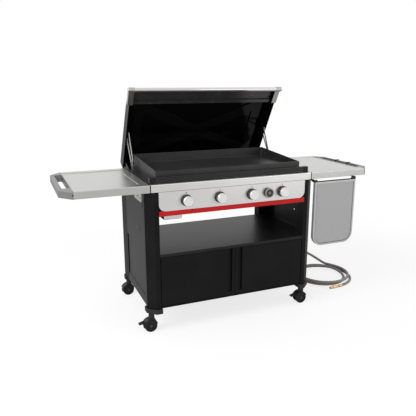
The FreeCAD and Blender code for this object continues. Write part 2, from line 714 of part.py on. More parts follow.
def side_rails():
    """Rails beside the cookbox: they carry it on the columns and close the gap to the tables."""
    top = (SIDE_RAIL_TOP - SHEET, SIDE_RAIL_TOP)
    y = (FRONT_PANEL_Y, CABINET_DEPTH - 12.0)
    inner = COOKBOX_HALF_WIDTH
    outer = (SIDE_RAIL_OUTER_X - SHEET, SIDE_RAIL_OUTER_X)
    strip_room = box(
        (inner - 1, FRONT_PANEL_HALF + BLOCK_GAP), (y[0] - 1, GRIDDLE_FRONT), (top[0] - 1, top[1] + 1),
    )
    plate = box((inner, outer[1]), y, top).cut(strip_room)
    hanger = box(
        (inner, inner + SHEET), (COOKBOX_FRONT, COOKBOX_BACK), (SIDE_RAIL_TOP - 40, SIDE_RAIL_TOP),
    )
    web = box(outer, (y[0], y[1]), (COLUMN_TOP, SIDE_RAIL_TOP))
    gusset = prism_x(
        [
            (COOKBOX_BACK - 90, SIDE_RAIL_TOP - 1), (COOKBOX_BACK, SIDE_RAIL_TOP - 1),
            (COOKBOX_BACK, SIDE_RAIL_TOP + 30), (COOKBOX_BACK - 18, SIDE_RAIL_TOP + 30),
        ],
        outer,
    )
    block_y = (FRONT_PANEL_Y, FRONT_PANEL_Y + BLOCK_DEPTH)
    block = box(
        (FRONT_PANEL_HALF + BLOCK_GAP, BLOCK_OUTER_X), block_y, (SIDE_RAIL_TOP - 4, FRONT_PANEL_TOP),
    )
    block = block.makeFillet(2.0, edges_at(block, y=block_y[0], z=FRONT_PANEL_TOP))
    inside = box(
        (FRONT_PANEL_HALF + BLOCK_GAP + SHEET, BLOCK_OUTER_X - SHEET),
        (block_y[0] + SHEET, block_y[1] + 1), (SIDE_RAIL_TOP, FRONT_PANEL_TOP - SHEET),
    )
    rail = plate.fuse([hanger, web, gusset]).fuse(block.cut(inside))
    return pair(rail.removeSplitter())


def griddle_plate():
    """Welded steel griddle: flat floor, low front wall and side walls that rise to the back."""
    half = GRIDDLE_HALF_WIDTH
    bottom = GRIDDLE_FLOOR - GRIDDLE_PLATE
    side = [
        (GRIDDLE_FRONT, bottom), (GRIDDLE_BACK, bottom), (GRIDDLE_BACK, GRIDDLE_BACK_TOP),
        (GRIDDLE_FRONT, GRIDDLE_FRONT_TOP),
    ]
    body = prism_x(side, (-half, half))
    corners = []
    for x in (-half, half):
        corners += edges_at(body, x=x, y=GRIDDLE_FRONT) + edges_at(body, x=x, y=GRIDDLE_BACK)
    body = body.makeFillet(GRIDDLE_CORNER_RADIUS, corners)
    inner_x = half - GRIDDLE_WALL
    inner_y = (GRIDDLE_FRONT + GRIDDLE_WALL, GRIDDLE_BACK - GRIDDLE_WALL)
    hollow = box((-inner_x, inner_x), inner_y, (GRIDDLE_FLOOR, GRIDDLE_BACK_TOP + 10))
    hollow = hollow.makeFillet(9.0, [e for e in hollow.Edges if e.BoundBox.ZLength > 10])
    hollow = hollow.makeFillet(4.0, edges_at(hollow, z=GRIDDLE_FLOOR))
    slot_y = inner_y[0] + 8.0 + GREASE_SLOT_WIDTH / 2
    drain = slot_z(
        (GREASE_SLOT_X, slot_y), GREASE_SLOT_LENGTH, GREASE_SLOT_WIDTH, (bottom - 1, GRIDDLE_FLOOR + 1),
    )
    return body.cut(hollow).cut(drain)


def burners():
    """Four tube burners, each with a narrow throat to its valve and a row of ports."""
    pieces = []
    for k in range(4):
        x = (k - 1.5) * KNOB_SPACING
        start = COOKBOX_FRONT + 14.0
        end = COOKBOX_BACK - SHEET
        body = rod((x, start, KNOB_Z), (x, end, KNOB_Z), BURNER_RADIUS)
        throat = rod((x, MANIFOLD_Y + 6.0, KNOB_Z), (x, start + 2, KNOB_Z), BURNER_NECK_RADIUS)
        bore = rod((x, MANIFOLD_Y + 5.0, KNOB_Z), (x, start + 20, KNOB_Z), BURNER_NECK_RADIUS - 2.0)
        hollow = rod((x, start + 10, KNOB_Z), (x, end - 3, KNOB_Z), BURNER_RADIUS - 1.5)
        burner = body.fuse(throat).cut(bore).cut(hollow)
        pitch = (end - start - 60) / (BURNER_PORTS - 1)
        for n in range(BURNER_PORTS):
            y = start + 34 + n * pitch
            burner = burner.cut(rod((x - 16, y, KNOB_Z), (x + 16, y, KNOB_Z), 2.0))
        pieces.append(burner)
    return pieces


def gas_line():
    """Gas pipe behind the control panel, its branch to the back, and the elbow down to the hose."""
    height = KNOB_Z - VALVE_HEIGHT / 2 - MANIFOLD_RADIUS
    left = -1.5 * KNOB_SPACING - 30
    right = COOKBOX_HALF_WIDTH - 28
    low = COOKBOX_BOTTOM - 16.0
    x, y, z = HOSE_ROUTE[0]
    branch = MANIFOLD_RADIUS - 1
    run = rod((left, MANIFOLD_Y, height), (right, MANIFOLD_Y, height), MANIFOLD_RADIUS)
    drop = rod((right, MANIFOLD_Y, height + 4), (right, MANIFOLD_Y, low), branch)
    back = rod((right, MANIFOLD_Y, low), (right, y, low), branch)
    across = rod((right, y, low), (x, y, low), 11.0)
    down = rod((x, y, low), (x, y, z), 12.0)
    knees = [Part.makeSphere(branch, V(right, MANIFOLD_Y, low))]
    knees += [Part.makeSphere(11.0, V(right, y, low)), Part.makeSphere(12.0, V(x, y, low))]
    corners = [
        (x + 14 * math.cos(math.radians(a)), y + 14 * math.sin(math.radians(a)))
        for a in range(0, 360, 60)
    ]
    nut = prism_z(corners, (z, z + 14))
    return run.fuse([drop, back, across, down, nut] + knees).removeSplitter()


def gas_valves():
    """Four valve bodies on the manifold, with the stems that the knobs sit on."""
    pieces = []
    bottom = KNOB_Z - VALVE_HEIGHT / 2
    for k in range(4):
        x = (k - 1.5) * KNOB_SPACING
        body = box(
            (x - VALVE_WIDTH / 2, x + VALVE_WIDTH / 2), (8, MANIFOLD_Y + 6),
            (bottom, bottom + VALVE_HEIGHT),
        )
        body = body.makeFillet(3.0, [e for e in body.Edges if e.BoundBox.YLength > 10])
        stem = rod((x, 10, KNOB_Z), (x, -KNOB_BASE - KNOB_LENGTH + 8, KNOB_Z), STEM_RADIUS)
        collar = rod((x, 8.5, KNOB_Z), (x, SHEET, KNOB_Z), 9.0)
        pieces.append(body.fuse([stem, collar]).removeSplitter())
    return pieces


def control_panel():
    """Brushed fascia: pan with round lower corners, holes for the valve stems and the display."""
    half = COLUMN_INNER_X - 0.2
    z = (TABLE_BOTTOM - PANEL_HEIGHT, TABLE_BOTTOM)
    outer = rounded_plate_y((-half, half), z, PANEL_RADIUS, (0, PANEL_FLANGE))
    inner = rounded_plate_y(
        (-half + SHEET, half - SHEET), (z[0] + SHEET, z[1] + 1), PANEL_RADIUS - SHEET,
        (SHEET, PANEL_FLANGE + 1),
    )
    panel = outer.cut(inner)
    for k in range(4):
        x = (k - 1.5) * KNOB_SPACING
        panel = panel.cut(rod((x, -1, KNOB_Z), (x, SHEET + 1, KNOB_Z), STEM_RADIUS + 2))
    return panel.cut(rod((DISPLAY_X, -1, KNOB_Z), (DISPLAY_X, SHEET + 1, KNOB_Z), DISPLAY_GLASS_RADIUS))


def knob_bezels():
    rings = []
    for k in range(4):
        x = (k - 1.5) * KNOB_SPACING
        ring = rod((x, 0, KNOB_Z), (x, -KNOB_BASE, KNOB_Z), KNOB_RADIUS + 2)
        ring = ring.makeFillet(2.0, edges_at(ring, y=-KNOB_BASE))
        rings.append(ring.cut(rod((x, 1, KNOB_Z), (x, -KNOB_BASE - 1, KNOB_Z), STEM_RADIUS + 2)))
    return rings


def knob(k):
    """Knob: fluted grip and a dished metal face, bored for its valve stem."""
    x = (k - 1.5) * KNOB_SPACING
    start = -KNOB_BASE - RUN_CLEARANCE
    end = -KNOB_BASE - KNOB_LENGTH
    skirt_end = start - KNOB_SKIRT
    grip_start = skirt_end - KNOB_GROOVE
    grip_end = grip_start - KNOB_GRIP
    cap_start = grip_end - KNOB_GROOVE
    neck = KNOB_FACE_RADIUS - KNOB_GROOVE
    grip = KNOB_RADIUS - 0.5
    section = [
        (0, start), (KNOB_RADIUS, start), (KNOB_RADIUS, skirt_end), (neck, skirt_end),
        (neck, grip_start), (grip, grip_start), (grip, grip_end), (neck, grip_end), (neck, cap_start),
        (KNOB_FACE_RADIUS, cap_start), (KNOB_FACE_RADIUS, end + 2), (KNOB_FACE_RADIUS - 2, end),
        (KNOB_FACE_RADIUS - 5, end), (KNOB_FACE_RADIUS - 7, end + 1.2), (0, end + 1.2),
    ]
    face = polygon([V(x + r, y, KNOB_Z) for r, y in section])
    body = face.revolve(V(x, 0, KNOB_Z), V(0, 1, 0), 360)
    flutes = []
    for n in range(KNOB_FLUTES):
        a = 2 * math.pi * n / KNOB_FLUTES
        at = (x + (KNOB_RADIUS + 1) * math.cos(a), KNOB_Z + (KNOB_RADIUS + 1) * math.sin(a))
        flutes.append(rod((at[0], grip_start + 1, at[1]), (at[0], grip_end - 1, at[1]), 2.0))
    body = body.cut(Part.makeCompound(flutes))
    return body.cut(rod((x, 1, KNOB_Z), (x, end + 7, KNOB_Z), STEM_RADIUS + PIN_CLEARANCE))


def display():
    """Round temperature display: black housing that stands off the panel, and a ring round its glass."""
    x = DISPLAY_X
    seam = DISPLAY_RING - DISPLAY_LENGTH
    ring = tube((x, seam, KNOB_Z), (x, -DISPLAY_LENGTH, KNOB_Z), DISPLAY_RADIUS, DISPLAY_GLASS_RADIUS)
    front_edges = edges_at(ring, y=-DISPLAY_LENGTH)
    outer_edges = [edge for edge in front_edges if edge.Curve.Radius > DISPLAY_GLASS_RADIUS + 1]
    ring = ring.makeFillet(DISPLAY_EDGE_RADIUS, outer_edges)
    housing = rod((x, 0, KNOB_Z), (x, seam, KNOB_Z), DISPLAY_RADIUS - 0.5)
    back = (x, MANIFOLD_Y - MANIFOLD_RADIUS - 3, KNOB_Z)
    module = rod((x, seam - 1.5, KNOB_Z), back, DISPLAY_GLASS_RADIUS)
    return [ring, housing.fuse(module).removeSplitter()]


def red_rail():
    """Fixed right part of the red rail."""
    x = (TRAY_RIGHT_X + 4.0, COLUMN_INNER_X - 0.2)
    z = (RED_RAIL_BOTTOM, RED_RAIL_BOTTOM + RED_RAIL_HEIGHT - 2.0)
    rail = box(x, (0, RED_RAIL_DEPTH), z)
    rail = rail.makeFillet(2.0, edges_at(rail, y=0, z=z[0]) + edges_at(rail, y=0, z=z[1]))
    return rail.cut(
        box((x[0] + SHEET, x[1] - SHEET), (SHEET, RED_RAIL_DEPTH + 1), (z[0] + SHEET, z[1] - SHEET))
    )


TRAY_X = (-COLUMN_INNER_X + 0.8, TRAY_RIGHT_X)
TRAY_FLOOR = RED_RAIL_BOTTOM + 2.0


def tray_front():
    """Red front of the grease drawer."""
    z = (RED_RAIL_BOTTOM, RED_RAIL_BOTTOM + RED_RAIL_HEIGHT - 2.0)
    front = box(TRAY_X, (0, RED_RAIL_DEPTH), z)
    front = front.makeFillet(2.0, edges_at(front, y=0, z=z[0]) + edges_at(front, y=0, z=z[1]))
    return front.cut(
        box(
            (TRAY_X[0] + SHEET, TRAY_X[1] - SHEET), (SHEET, RED_RAIL_DEPTH + 1),
            (z[0] + SHEET, z[1] - SHEET),
        )
    )


def tray_holder():
    """Black drawer of the grease tray, with an opening that holds the catch pan by its rim."""
    x = (TRAY_X[0] + 6.0, TRAY_X[1] - 6.0)
    y = (RED_RAIL_DEPTH, RED_RAIL_DEPTH + TRAY_DEPTH)
    top = RED_RAIL_BOTTOM + 24.0
    tray = box(x, y, (TRAY_FLOOR, top)).cut(
        box((x[0] + SHEET, x[1] - SHEET), (y[0] + SHEET, y[1] - SHEET), (TRAY_FLOOR + SHEET, top + 1))
    )
    runner = box((x[0] - 4, x[0]), y, (top - 4, top))
    runner_right = box((x[1], x[1] + 4), y, (top - 4, top))
    pan_x, pan_y = pan_area()
    opening = box(pan_x, pan_y, (TRAY_FLOOR - 1, TRAY_FLOOR + 3))
    skirt = prism_y(
        [
            (pan_x[0] - 14, TRAY_FLOOR), (pan_x[0] - 0.8, TRAY_FLOOR),
            (pan_x[0] - 0.8, TRAY_FLOOR - 16), (pan_x[0] - 3, TRAY_FLOOR - 16),
        ],
        (y[0] + 4, pan_y[1]),
    )
    return tray.fuse([runner, runner_right, skirt]).cut(opening).removeSplitter()


def pan_area():
    """Plan area of the catch pan's body."""
    x, y = TRAY_X[0] + CATCH_PAN_INSET, RED_RAIL_DEPTH + CATCH_PAN_FRONT_GAP
    return (x, x + CATCH_PAN_WIDTH), (y, y + CATCH_PAN_LENGTH)


def catch_pan():
    """Loose foil pan that hangs in the drawer below the chute."""
    (x0, x1), (y0, y1) = pan_area()
    gap = CATCH_PAN_CLEARANCE
    seat = TRAY_FLOOR + SHEET
    body = box((x0 + gap, x1 - gap), (y0 + gap, y1 - gap), (TRAY_FLOOR - CATCH_PAN_DEPTH, seat))
    upright = [e for e in body.Edges if e.BoundBox.ZLength > 10]
    body = body.makeFillet(CATCH_PAN_CORNER_RADIUS, upright)
    foot = edges_at(body, z=TRAY_FLOOR - CATCH_PAN_DEPTH)
    body = body.makeFillet(CATCH_PAN_FLOOR_RADIUS, foot)
    rim = box((x0 - 4, x1 + 4), (y0 - 4, y1 + 4), (seat, seat + 1.0))
    hollow = box(
        (x0 + gap + 1, x1 - gap - 1), (y0 + gap + 1, y1 - gap - 1),
        (TRAY_FLOOR - CATCH_PAN_DEPTH + 1, seat + 2),
    )
    hollow = hollow.makeFillet(7.0, [e for e in hollow.Edges if e.BoundBox.ZLength > 10])
    hollow = hollow.makeFillet(5.0, edges_at(hollow, z=TRAY_FLOOR - CATCH_PAN_DEPTH + 1))
    return body.fuse(rim).cut(hollow).removeSplitter()


def tray_guides():
    """Two folded guides under the cookbox that the drawer's runners slide in."""
    top = RED_RAIL_BOTTOM + 24.0
    guides = []
    for edge, side in ((TRAY_X[0] + 6.0, -1), (TRAY_X[1] - 6.0, 1)):
        inner = edge + side * 0.5
        outer = edge + side * 6.5
        x = sorted((inner, outer))
        y = (PANEL_FLANGE + 0.5, RED_RAIL_DEPTH + TRAY_DEPTH + 4.0)
        bar = box(x, y, (top - 8, COOKBOX_BOTTOM))
        groove_x = sorted((edge, edge + side * 4.4))
        groove = box(groove_x, (y[0] - 1, y[1] + 1), (top - 4 - RUN_CLEARANCE, top + RUN_CLEARANCE))
        guides.append(bar.cut(groove))
    return guides


def turn(point, degrees):
    """Turn a (y, z) vector from Y towards Z."""
    c, s = math.cos(math.radians(degrees)), math.sin(math.radians(degrees))
    return (c * point[0] - s * point[1], s * point[0] + c * point[1])


def closed_point(place):
    """(y, z) of a point of the closed lid, given back from and up from its lower front corner."""
    return (LID_CLOSED_CORNER[0] + place[0], LID_CLOSED_CORNER[1] + place[1])


def open_point(place):
    dy, dz = turn(place, -LID_OPEN_ANGLE)
    return (LID_OPEN_CORNER[0] + dy, LID_OPEN_CORNER[1] + dz)


def opened(shape):
    """Move a piece of the lid from its closed place to the open one."""
    moved = shape.copy()
    moved.translate(V(0, -LID_CLOSED_CORNER[0], -LID_CLOSED_CORNER[1]))
    moved.rotate(V(0, 0, 0), V(1, 0, 0), -LID_OPEN_ANGLE)
    moved.translate(V(0, LID_OPEN_CORNER[0], LID_OPEN_CORNER[1]))
    return moved


def base_pivot(place, length):
    """Fixed pivot of an arm, as far from the open as from the closed place of its pin in the lid."""
    a, b = open_point(place), closed_point(place)
    middle = ((a[0] + b[0]) / 2, (a[1] + b[1]) / 2)
    apart = math.dist(a, b)
    across = ((a[1] - b[1]) / apart, -(a[0] - b[0]) / apart)
    reach = math.sqrt(length ** 2 - (apart / 2) ** 2)
    return (middle[0] + across[0] * reach, middle[1] + across[1] * reach)


FRONT_PIVOT = base_pivot(FRONT_PIN_IN_LID, FRONT_ARM_LENGTH)
REAR_PIVOT = base_pivot(REAR_PIN_IN_LID, REAR_ARM_LENGTH)
FRONT_PIN = open_point(FRONT_PIN_IN_LID)
REAR_PIN = open_point(REAR_PIN_IN_LID)


def swing(pivot, place):
    """Degrees that an arm turns from the open to the closed lid."""
    a, b = open_point(place), closed_point(place)
    start = math.atan2(a[1] - pivot[1], a[0] - pivot[0])
    end = math.atan2(b[1] - pivot[1], b[0] - pivot[0])
    return math.degrees(end - start) % 360


FRONT_SWING = swing(FRONT_PIVOT, FRONT_PIN_IN_LID)
REAR_SWING = swing(REAR_PIVOT, REAR_PIN_IN_LID)


def open_pivot_error(steps=60):
    """Largest distance between the rear arm's eye and the lid's pin when all turn at steady rates."""
    worst = 0.0
    for n in range(steps + 1):
        t = n / steps
        carried = turn((FRONT_PIN[0] - FRONT_PIVOT[0], FRONT_PIN[1] - FRONT_PIVOT[1]), t * FRONT_SWING)
        across = turn((REAR_PIN[0] - FRONT_PIN[0], REAR_PIN[1] - FRONT_PIN[1]), t * LID_OPEN_ANGLE)
        rear = turn((REAR_PIN[0] - REAR_PIVOT[0], REAR_PIN[1] - REAR_PIVOT[1]), t * REAR_SWING)
        pin = (FRONT_PIVOT[0] + carried[0] + across[0], FRONT_PIVOT[1] + carried[1] + across[1])
        eye = (REAR_PIVOT[0] + rear[0], REAR_PIVOT[1] + rear[1])
        worst = max(worst, math.dist(pin, eye))
    return worst


EAR_IN = EAR_X
EAR_OUT = EAR_X + EAR_SHEET
FRONT_ARM_X = (EAR_IN - ARM_GAP - ARM_SHEET, EAR_IN - ARM_GAP)
REAR_ARM_X = (EAR_OUT + ARM_GAP, EAR_OUT + ARM_GAP + ARM_SHEET)


def stud(place, x_from, x_to, radius=PIN_RADIUS):
    """Rivet shank with a head at x_to."""
    side = 1 if x_to > x_from else -1
    shank = rod((x_from, place[0], place[1]), (x_to, place[0], place[1]), radius)
    head = rod((x_to, place[0], place[1]), (x_to + side * HEAD_HEIGHT, place[0], place[1]), HEAD_RADIUS)
    return shank.fuse(head)


def arm_brackets():
    """Ears on the side rails that carry the lower pivots of the arms."""
    low = SIDE_RAIL_TOP
    front, rear = FRONT_PIVOT, REAR_PIVOT
    ear = prism_x(
        [
            (front[0] - 16, low), (rear[0] + 18, low), (rear[0] + 11, rear[1] + 4),
            (front[0] + 2, front[1] + 11), (front[0] - 9, front[1] + 4),
        ],
        (EAR_IN, EAR_OUT),
    )
    foot = box((EAR_IN - 14, EAR_OUT), (front[0] - 16, rear[0] + 18), (low, low + EAR_SHEET))
    front_stud = stud(front, EAR_IN + 1, FRONT_ARM_X[0] - ARM_GAP)
    rear_stud = stud(rear, EAR_OUT - 1, REAR_ARM_X[1] + ARM_GAP)
    return pair(ear.fuse([foot, front_stud, rear_stud]).removeSplitter())


def arm(start, end, x, start_bore, end_bore, end_radius):
    """Flat bar between two eyes, given by their (y, z) centres."""
    along = V(0, end[0] - start[0], end[1] - start[1])
    across = V(1, 0, 0).cross(along).normalize() * ARM_HALF_WIDTH
    a, b = V(x[0], start[0], start[1]), V(x[0], end[0], end[1])
    bar = polygon([a + across, b + across, b - across, a - across]).extrude(V(x[1] - x[0], 0, 0))
    eyes = [
        rod((x[0], *start), (x[1], *start), ARM_HALF_WIDTH + 1.5),
        rod((x[0], *end), (x[1], *end), end_radius),
    ]
    link = bar.fuse(eyes).removeSplitter()
    for centre, bore in ((start, start_bore), (end, end_bore)):
        link = link.cut(rod((x[0] - 1, *centre), (x[1] + 1, *centre), bore))
    return link


def front_arms():
    bore = PIN_RADIUS + PIN_CLEARANCE
    return pair(arm(FRONT_PIVOT, FRONT_PIN, FRONT_ARM_X, bore, bore, ARM_HALF_WIDTH + 1.5))


def rear_arms():
    """Rear arms: their upper eyes are wide, because the lid's pin wanders a little in them."""
    bore = PIN_RADIUS + PIN_CLEARANCE
    return pair(
        arm(REAR_PIVOT, REAR_PIN, REAR_ARM_X, bore, PIN_RADIUS + OPEN_PIVOT_PLAY, OPEN_EYE_RADIUS)
    )


def lid_tabs():
    """Brackets inside the lid's side walls that carry the upper pivots of the arms."""
    front, rear = closed_point(FRONT_PIN_IN_LID), closed_point(REAR_PIN_IN_LID)
    low = LID_CLOSED_CORNER[1]
    wall = LID_HALF_WIDTH - LID_SHEET
    bend = low + LID_TAB_RISE
    y = (front[0] - 20, rear[0] + 20)
    plate = prism_x(
        [
            (y[0], bend), (front[0] - 8, front[1] - 8), (front[0] + 2, front[1] - 12),
            (rear[0] + 4, rear[1] - 10), (rear[0] + 12, rear[1] - 4), (y[1], bend),
        ],
        (EAR_IN, EAR_OUT),
    )
    web = box((EAR_IN, wall), y, (bend - EAR_SHEET, bend))
    back = box((wall - EAR_SHEET, wall), y, (bend, bend + 30))
    front_stud = stud(front, EAR_IN + 1, FRONT_ARM_X[0] - ARM_GAP)
    rear_stud = rod((EAR_OUT - 1, *rear), (REAR_ARM_X[1] + 0.2, *rear), PIN_RADIUS)
    tab = plate.fuse([web, back, front_stud, rear_stud]).removeSplitter()
    return [opened(piece) for piece in pair(tab)]


LID_DROP = LID_DEPTH - LID_FRONT_HEIGHT
LID_SLOPE_RADIUS = (LID_SLOPE ** 2 + LID_DROP ** 2) / (2 * LID_DROP)


def lid_roof(back, grow=0.0):
    """Height of the lid's skin, grown inwards, above its rim at a distance back from its front."""
    if back >= LID_SLOPE:
        return LID_DEPTH - grow
    across = (LID_SLOPE_RADIUS - grow) ** 2 - (LID_SLOPE - back) ** 2
    return LID_DEPTH - LID_SLOPE_RADIUS + math.sqrt(across)


def lid_body(grow, low):
    """Solid form of the closed lid with its skin grown inwards, from height low up."""
    y0, z0 = LID_CLOSED_CORNER
    half = LID_HALF_WIDTH - grow

    def at(back, height):
        return V(-half, y0 + back, height)

    front, back = grow, LID_LENGTH - grow
    brow = at(front, z0 + lid_roof(front, grow))
    middle = at(LID_SLOPE / 2, z0 + lid_roof(LID_SLOPE / 2, grow))
    crown = at(LID_SLOPE, z0 + LID_DEPTH - grow)
    rear = at(back, z0 + LID_DEPTH - grow)
    corners = [crown, rear, at(back, low), at(front, low), brow]
    outline = [Part.LineSegment(a, b).toShape() for a, b in zip(corners, corners[1:])]
    outline.append(Part.Arc(brow, middle, crown).toShape())
    body = Part.Face(Part.Wire(Part.__sortEdges__(outline))).extrude(V(2 * half, 0, 0))
    upright = [e for e in body.Edges if e.BoundBox.ZLength > 10 and e.BoundBox.YLength < 1e-3]
    body = body.makeFillet(LID_CORNER_RADIUS - grow, upright)
    rim = []
    for edge in body.Edges:
        ends = [vertex.Point for vertex in edge.Vertexes]
        on_roof = all(abs(p.z - z0 - lid_roof(p.y - y0, grow)) < 1e-3 for p in ends)
        inside = edge.BoundBox.YLength < 1e-3 and front + 1 < ends[0].y - y0 < back - 1
        if on_roof and not inside:
            rim.append(edge)
    return body.makeFillet(LID_EDGE_RADIUS - grow, rim)


def lid_shell():
    low = LID_CLOSED_CORNER[1]
    return opened(lid_body(0.0, low).cut(lid_body(LID_SHEET, low - 5)))


def band(start, end, width, z):
    """Straight band between two (x, y) points."""
    along = V(end[0] - start[0], end[1] - start[1], 0)
    across = V(0, 0, 1).cross(along).normalize() * (width / 2)
    a, b = V(start[0], start[1], z[0]), V(end[0], end[1], z[0])
    return polygon([a + across, b + across, b - across, a - across]).extrude(V(0, 0, z[1] - z[0]))


def lid_liner():
    """Inner sheet of the lid with a pressed cross between two pressed side strips."""
    y0, z0 = LID_CLOSED_CORNER
    sheet = LINER_SHEET
    top = z0 + LINER_DEPTH
    roof = z0 + LID_DEPTH - LID_SHEET
    y = (y0 + CHANNEL_WIDTH + 0.5, y0 + LID_LENGTH - LID_EDGE_RADIUS - 4)
    half = LID_HALF_WIDTH - LID_EDGE_RADIUS - 4
    press_y = (y0 + CHANNEL_WIDTH + PRESS_FRONT_INSET, y0 + LID_LENGTH - PRESS_BACK_INSET)

    def pressing(grow, z):
        strips = [
            box(
                sorted((side * (STRIP_INNER_X + grow), side * (STRIP_INNER_X + STRIP_WIDTH - grow))),
                (press_y[0] + grow, press_y[1] - grow), z,
            )
            for side in (-1, 1)
        ]
        reach = STRIP_INNER_X + STRIP_WIDTH / 2
        cross = [
            band(
                (side * reach, press_y[0] + CROSS_INSET), (-side * reach, press_y[1] - CROSS_INSET),
                EMBOSS_WIDTH - 2 * grow, z,
            )
            for side in (-1, 1)
        ]
        return strips[0].fuse([strips[1]] + cross)

    flat = box((-half, half), y, (top - sheet, top))
    inner_x, lip_y = half - sheet, (y0 + LID_SLOPE, y[1] - LID_CORNER_RADIUS)
    lips = pair(box((inner_x, half), lip_y, (top - sheet, roof)))
    lips.append(
        box(
            (-half + LID_CORNER_RADIUS, half - LID_CORNER_RADIUS), (y[1] - sheet, y[1]),
            (top - sheet, roof),
        )
    )
    raised = pressing(0.0, (top - EMBOSS_HEIGHT, top))
    behind = pressing(sheet, (top - EMBOSS_HEIGHT + sheet, roof))
    return opened(flat.fuse([raised] + lips).cut(behind).removeSplitter())


def lid_front_channel():
    """Stiffener behind the handle: a sheet above the griddle's front wall with a pressed groove."""
    y0, z0 = LID_CLOSED_CORNER
    half = LID_HALF_WIDTH - LID_CORNER_RADIUS
    t = SHEET
    low = z0 + CHANNEL_RISE
    top = z0 + lid_roof(CHANNEL_WIDTH - t, LID_SHEET) - PRESS_GAP
    front, rear = y0 + LID_SHEET + CHANNEL_FRONT_GAP, y0 + CHANNEL_WIDTH
    groove = (rear - 49, rear - 22)
    deep = low + CHANNEL_BEAD
    under = [
        (front, low), (groove[0], low), (groove[0] + 5, deep), (groove[1] - 5, deep), (groove[1], low),
        (rear, low), (rear, top),
    ]
    over = [
        (rear - t, top), (rear - t, low + t), (groove[1] + 0.6, low + t), (groove[1] - 4.4, deep + t),
        (groove[0] + 4.4, deep + t), (groove[0] - 0.6, low + t), (front, low + t),
    ]
    return opened(prism_x(under + over, (-half, half)))


HANDLE_AXIS = (LID_CLOSED_CORNER[0] - HANDLE_FORWARD, LID_CLOSED_CORNER[1] - HANDLE_DROP)


def lid_handle():
    """Tube across the whole front of the lid, with closed round ends."""
    half = HANDLE_HALF_LENGTH
    bar = rod((-half, *HANDLE_AXIS), (half, *HANDLE_AXIS), HANDLE_RADIUS)
    bar = bar.makeFillet(2.5, edges_at(bar, x=-half) + edges_at(bar, x=half))
    return opened(bar.cut(rod((-half + 4, *HANDLE_AXIS), (half - 4, *HANDLE_AXIS), HANDLE_RADIUS - 1.5)))


def lid_handle_brackets():
    """End brackets that hold the handle tube and wrap the front corners of the lid."""
    y0, z0 = LID_CLOSED_CORNER
    outer = LID_HALF_WIDTH + BRACKET_SIDE
    t = HANDLE_BRACKET_SHEET
    face = box((outer - BRACKET_WIDTH, outer), (y0 - 2.0, y0 + BRACKET_LENGTH), (z0 - t, z0))
    top = z0 + BRACKET_RISE
    side = box((LID_HALF_WIDTH, outer), (y0 - 2.0, y0 + BRACKET_LENGTH), (z0 - t, top))
    side = side.cut(
        box(
            (LID_HALF_WIDTH - 1, outer - t), (y0 + 12.0, y0 + BRACKET_LENGTH - 12.0),
            (z0 - 0.1, top + 1),
        )
    )
    front = box((outer - BRACKET_WIDTH, outer), (y0 - 2.0, y0), (z0 - t, top))
    boss = rod((outer - BRACKET_WIDTH, *HANDLE_AXIS), (outer, *HANDLE_AXIS), HANDLE_RADIUS + 2.2)
    arm_plate = box(
        (outer - BRACKET_WIDTH, outer), (HANDLE_AXIS[0], y0), (z0 - t - HANDLE_DROP - 6, z0 + 4),
    )
    bracket = face.fuse([side, front, boss, arm_plate])
    bore = (outer - BRACKET_WIDTH - 1, *HANDLE_AXIS), (outer + 1, *HANDLE_AXIS)
    bracket = bracket.cut(rod(*bore, HANDLE_RADIUS + PIN_CLEARANCE))
    return [opened(piece) for piece in pair(bracket.removeSplitter())]


def leaf_outline(grow, y):
    """Leaf outline with round lower corners, grown inwards."""
    return rounded_plate_y(
        (LEAF_LEFT + grow, LEAF_RIGHT - grow), (LEAF_BOTTOM + grow, LEAF_TOP - grow),
        LEAF_RADIUS - grow, y,
    )


def leaf_frame():
    """Folded steel rim round the leaf."""
    y = (LEAF_FRONT, LEAF_FRONT + LEAF_THICKNESS)
    rim = leaf_outline(0.0, y)
    front_edges = edges_at(rim, y=y[0])
    soft = [e for e in front_edges if e.BoundBox.ZMax < LEAF_TOP - 1 or e.BoundBox.ZLength > 1]
    rim = rim.makeFillet(3.0, soft)
    return rim.cut(leaf_outline(LEAF_FRAME, (y[0] - 1, y[1] + 1)))


def leaf_board():
    """Board that fills the leaf, a little behind the front of its rim."""
    return leaf_outline(LEAF_FRAME, (LEAF_FRONT + 2.5, LEAF_FRONT + LEAF_THICKNESS - 3.0))


def leaf_hinge_bar():
    """Black bar along the top of the leaf with the hinge pins at its ends."""
    y, z = LEAF_AXIS
    bar = box(
        (LEAF_LEFT + 2, LEAF_RIGHT - 2), (LEAF_FRONT + 4, LEAF_FRONT + LEAF_THICKNESS - 1),
        (LEAF_TOP, LEAF_TOP + 3),
    )
    knuckles = []
    for x in ((LEAF_LEFT + 2, LEAF_LEFT + 22), (LEAF_RIGHT - 22, LEAF_RIGHT - 2)):
        knuckles.append(rod((x[0], y, z), (x[1], y, z), 5.5))
        knuckles.append(box(x, (y - 5.5, y + 5.5), (LEAF_TOP, z)))
    pins = [
        rod((LEAF_LEFT - 6, y, z), (LEAF_LEFT + 4, y, z), LEAF_PIN_RADIUS),
        rod((LEAF_RIGHT - 4, y, z), (LEAF_RIGHT + 6, y, z), LEAF_PIN_RADIUS),
    ]
    return bar.fuse(knuckles + pins).removeSplitter()


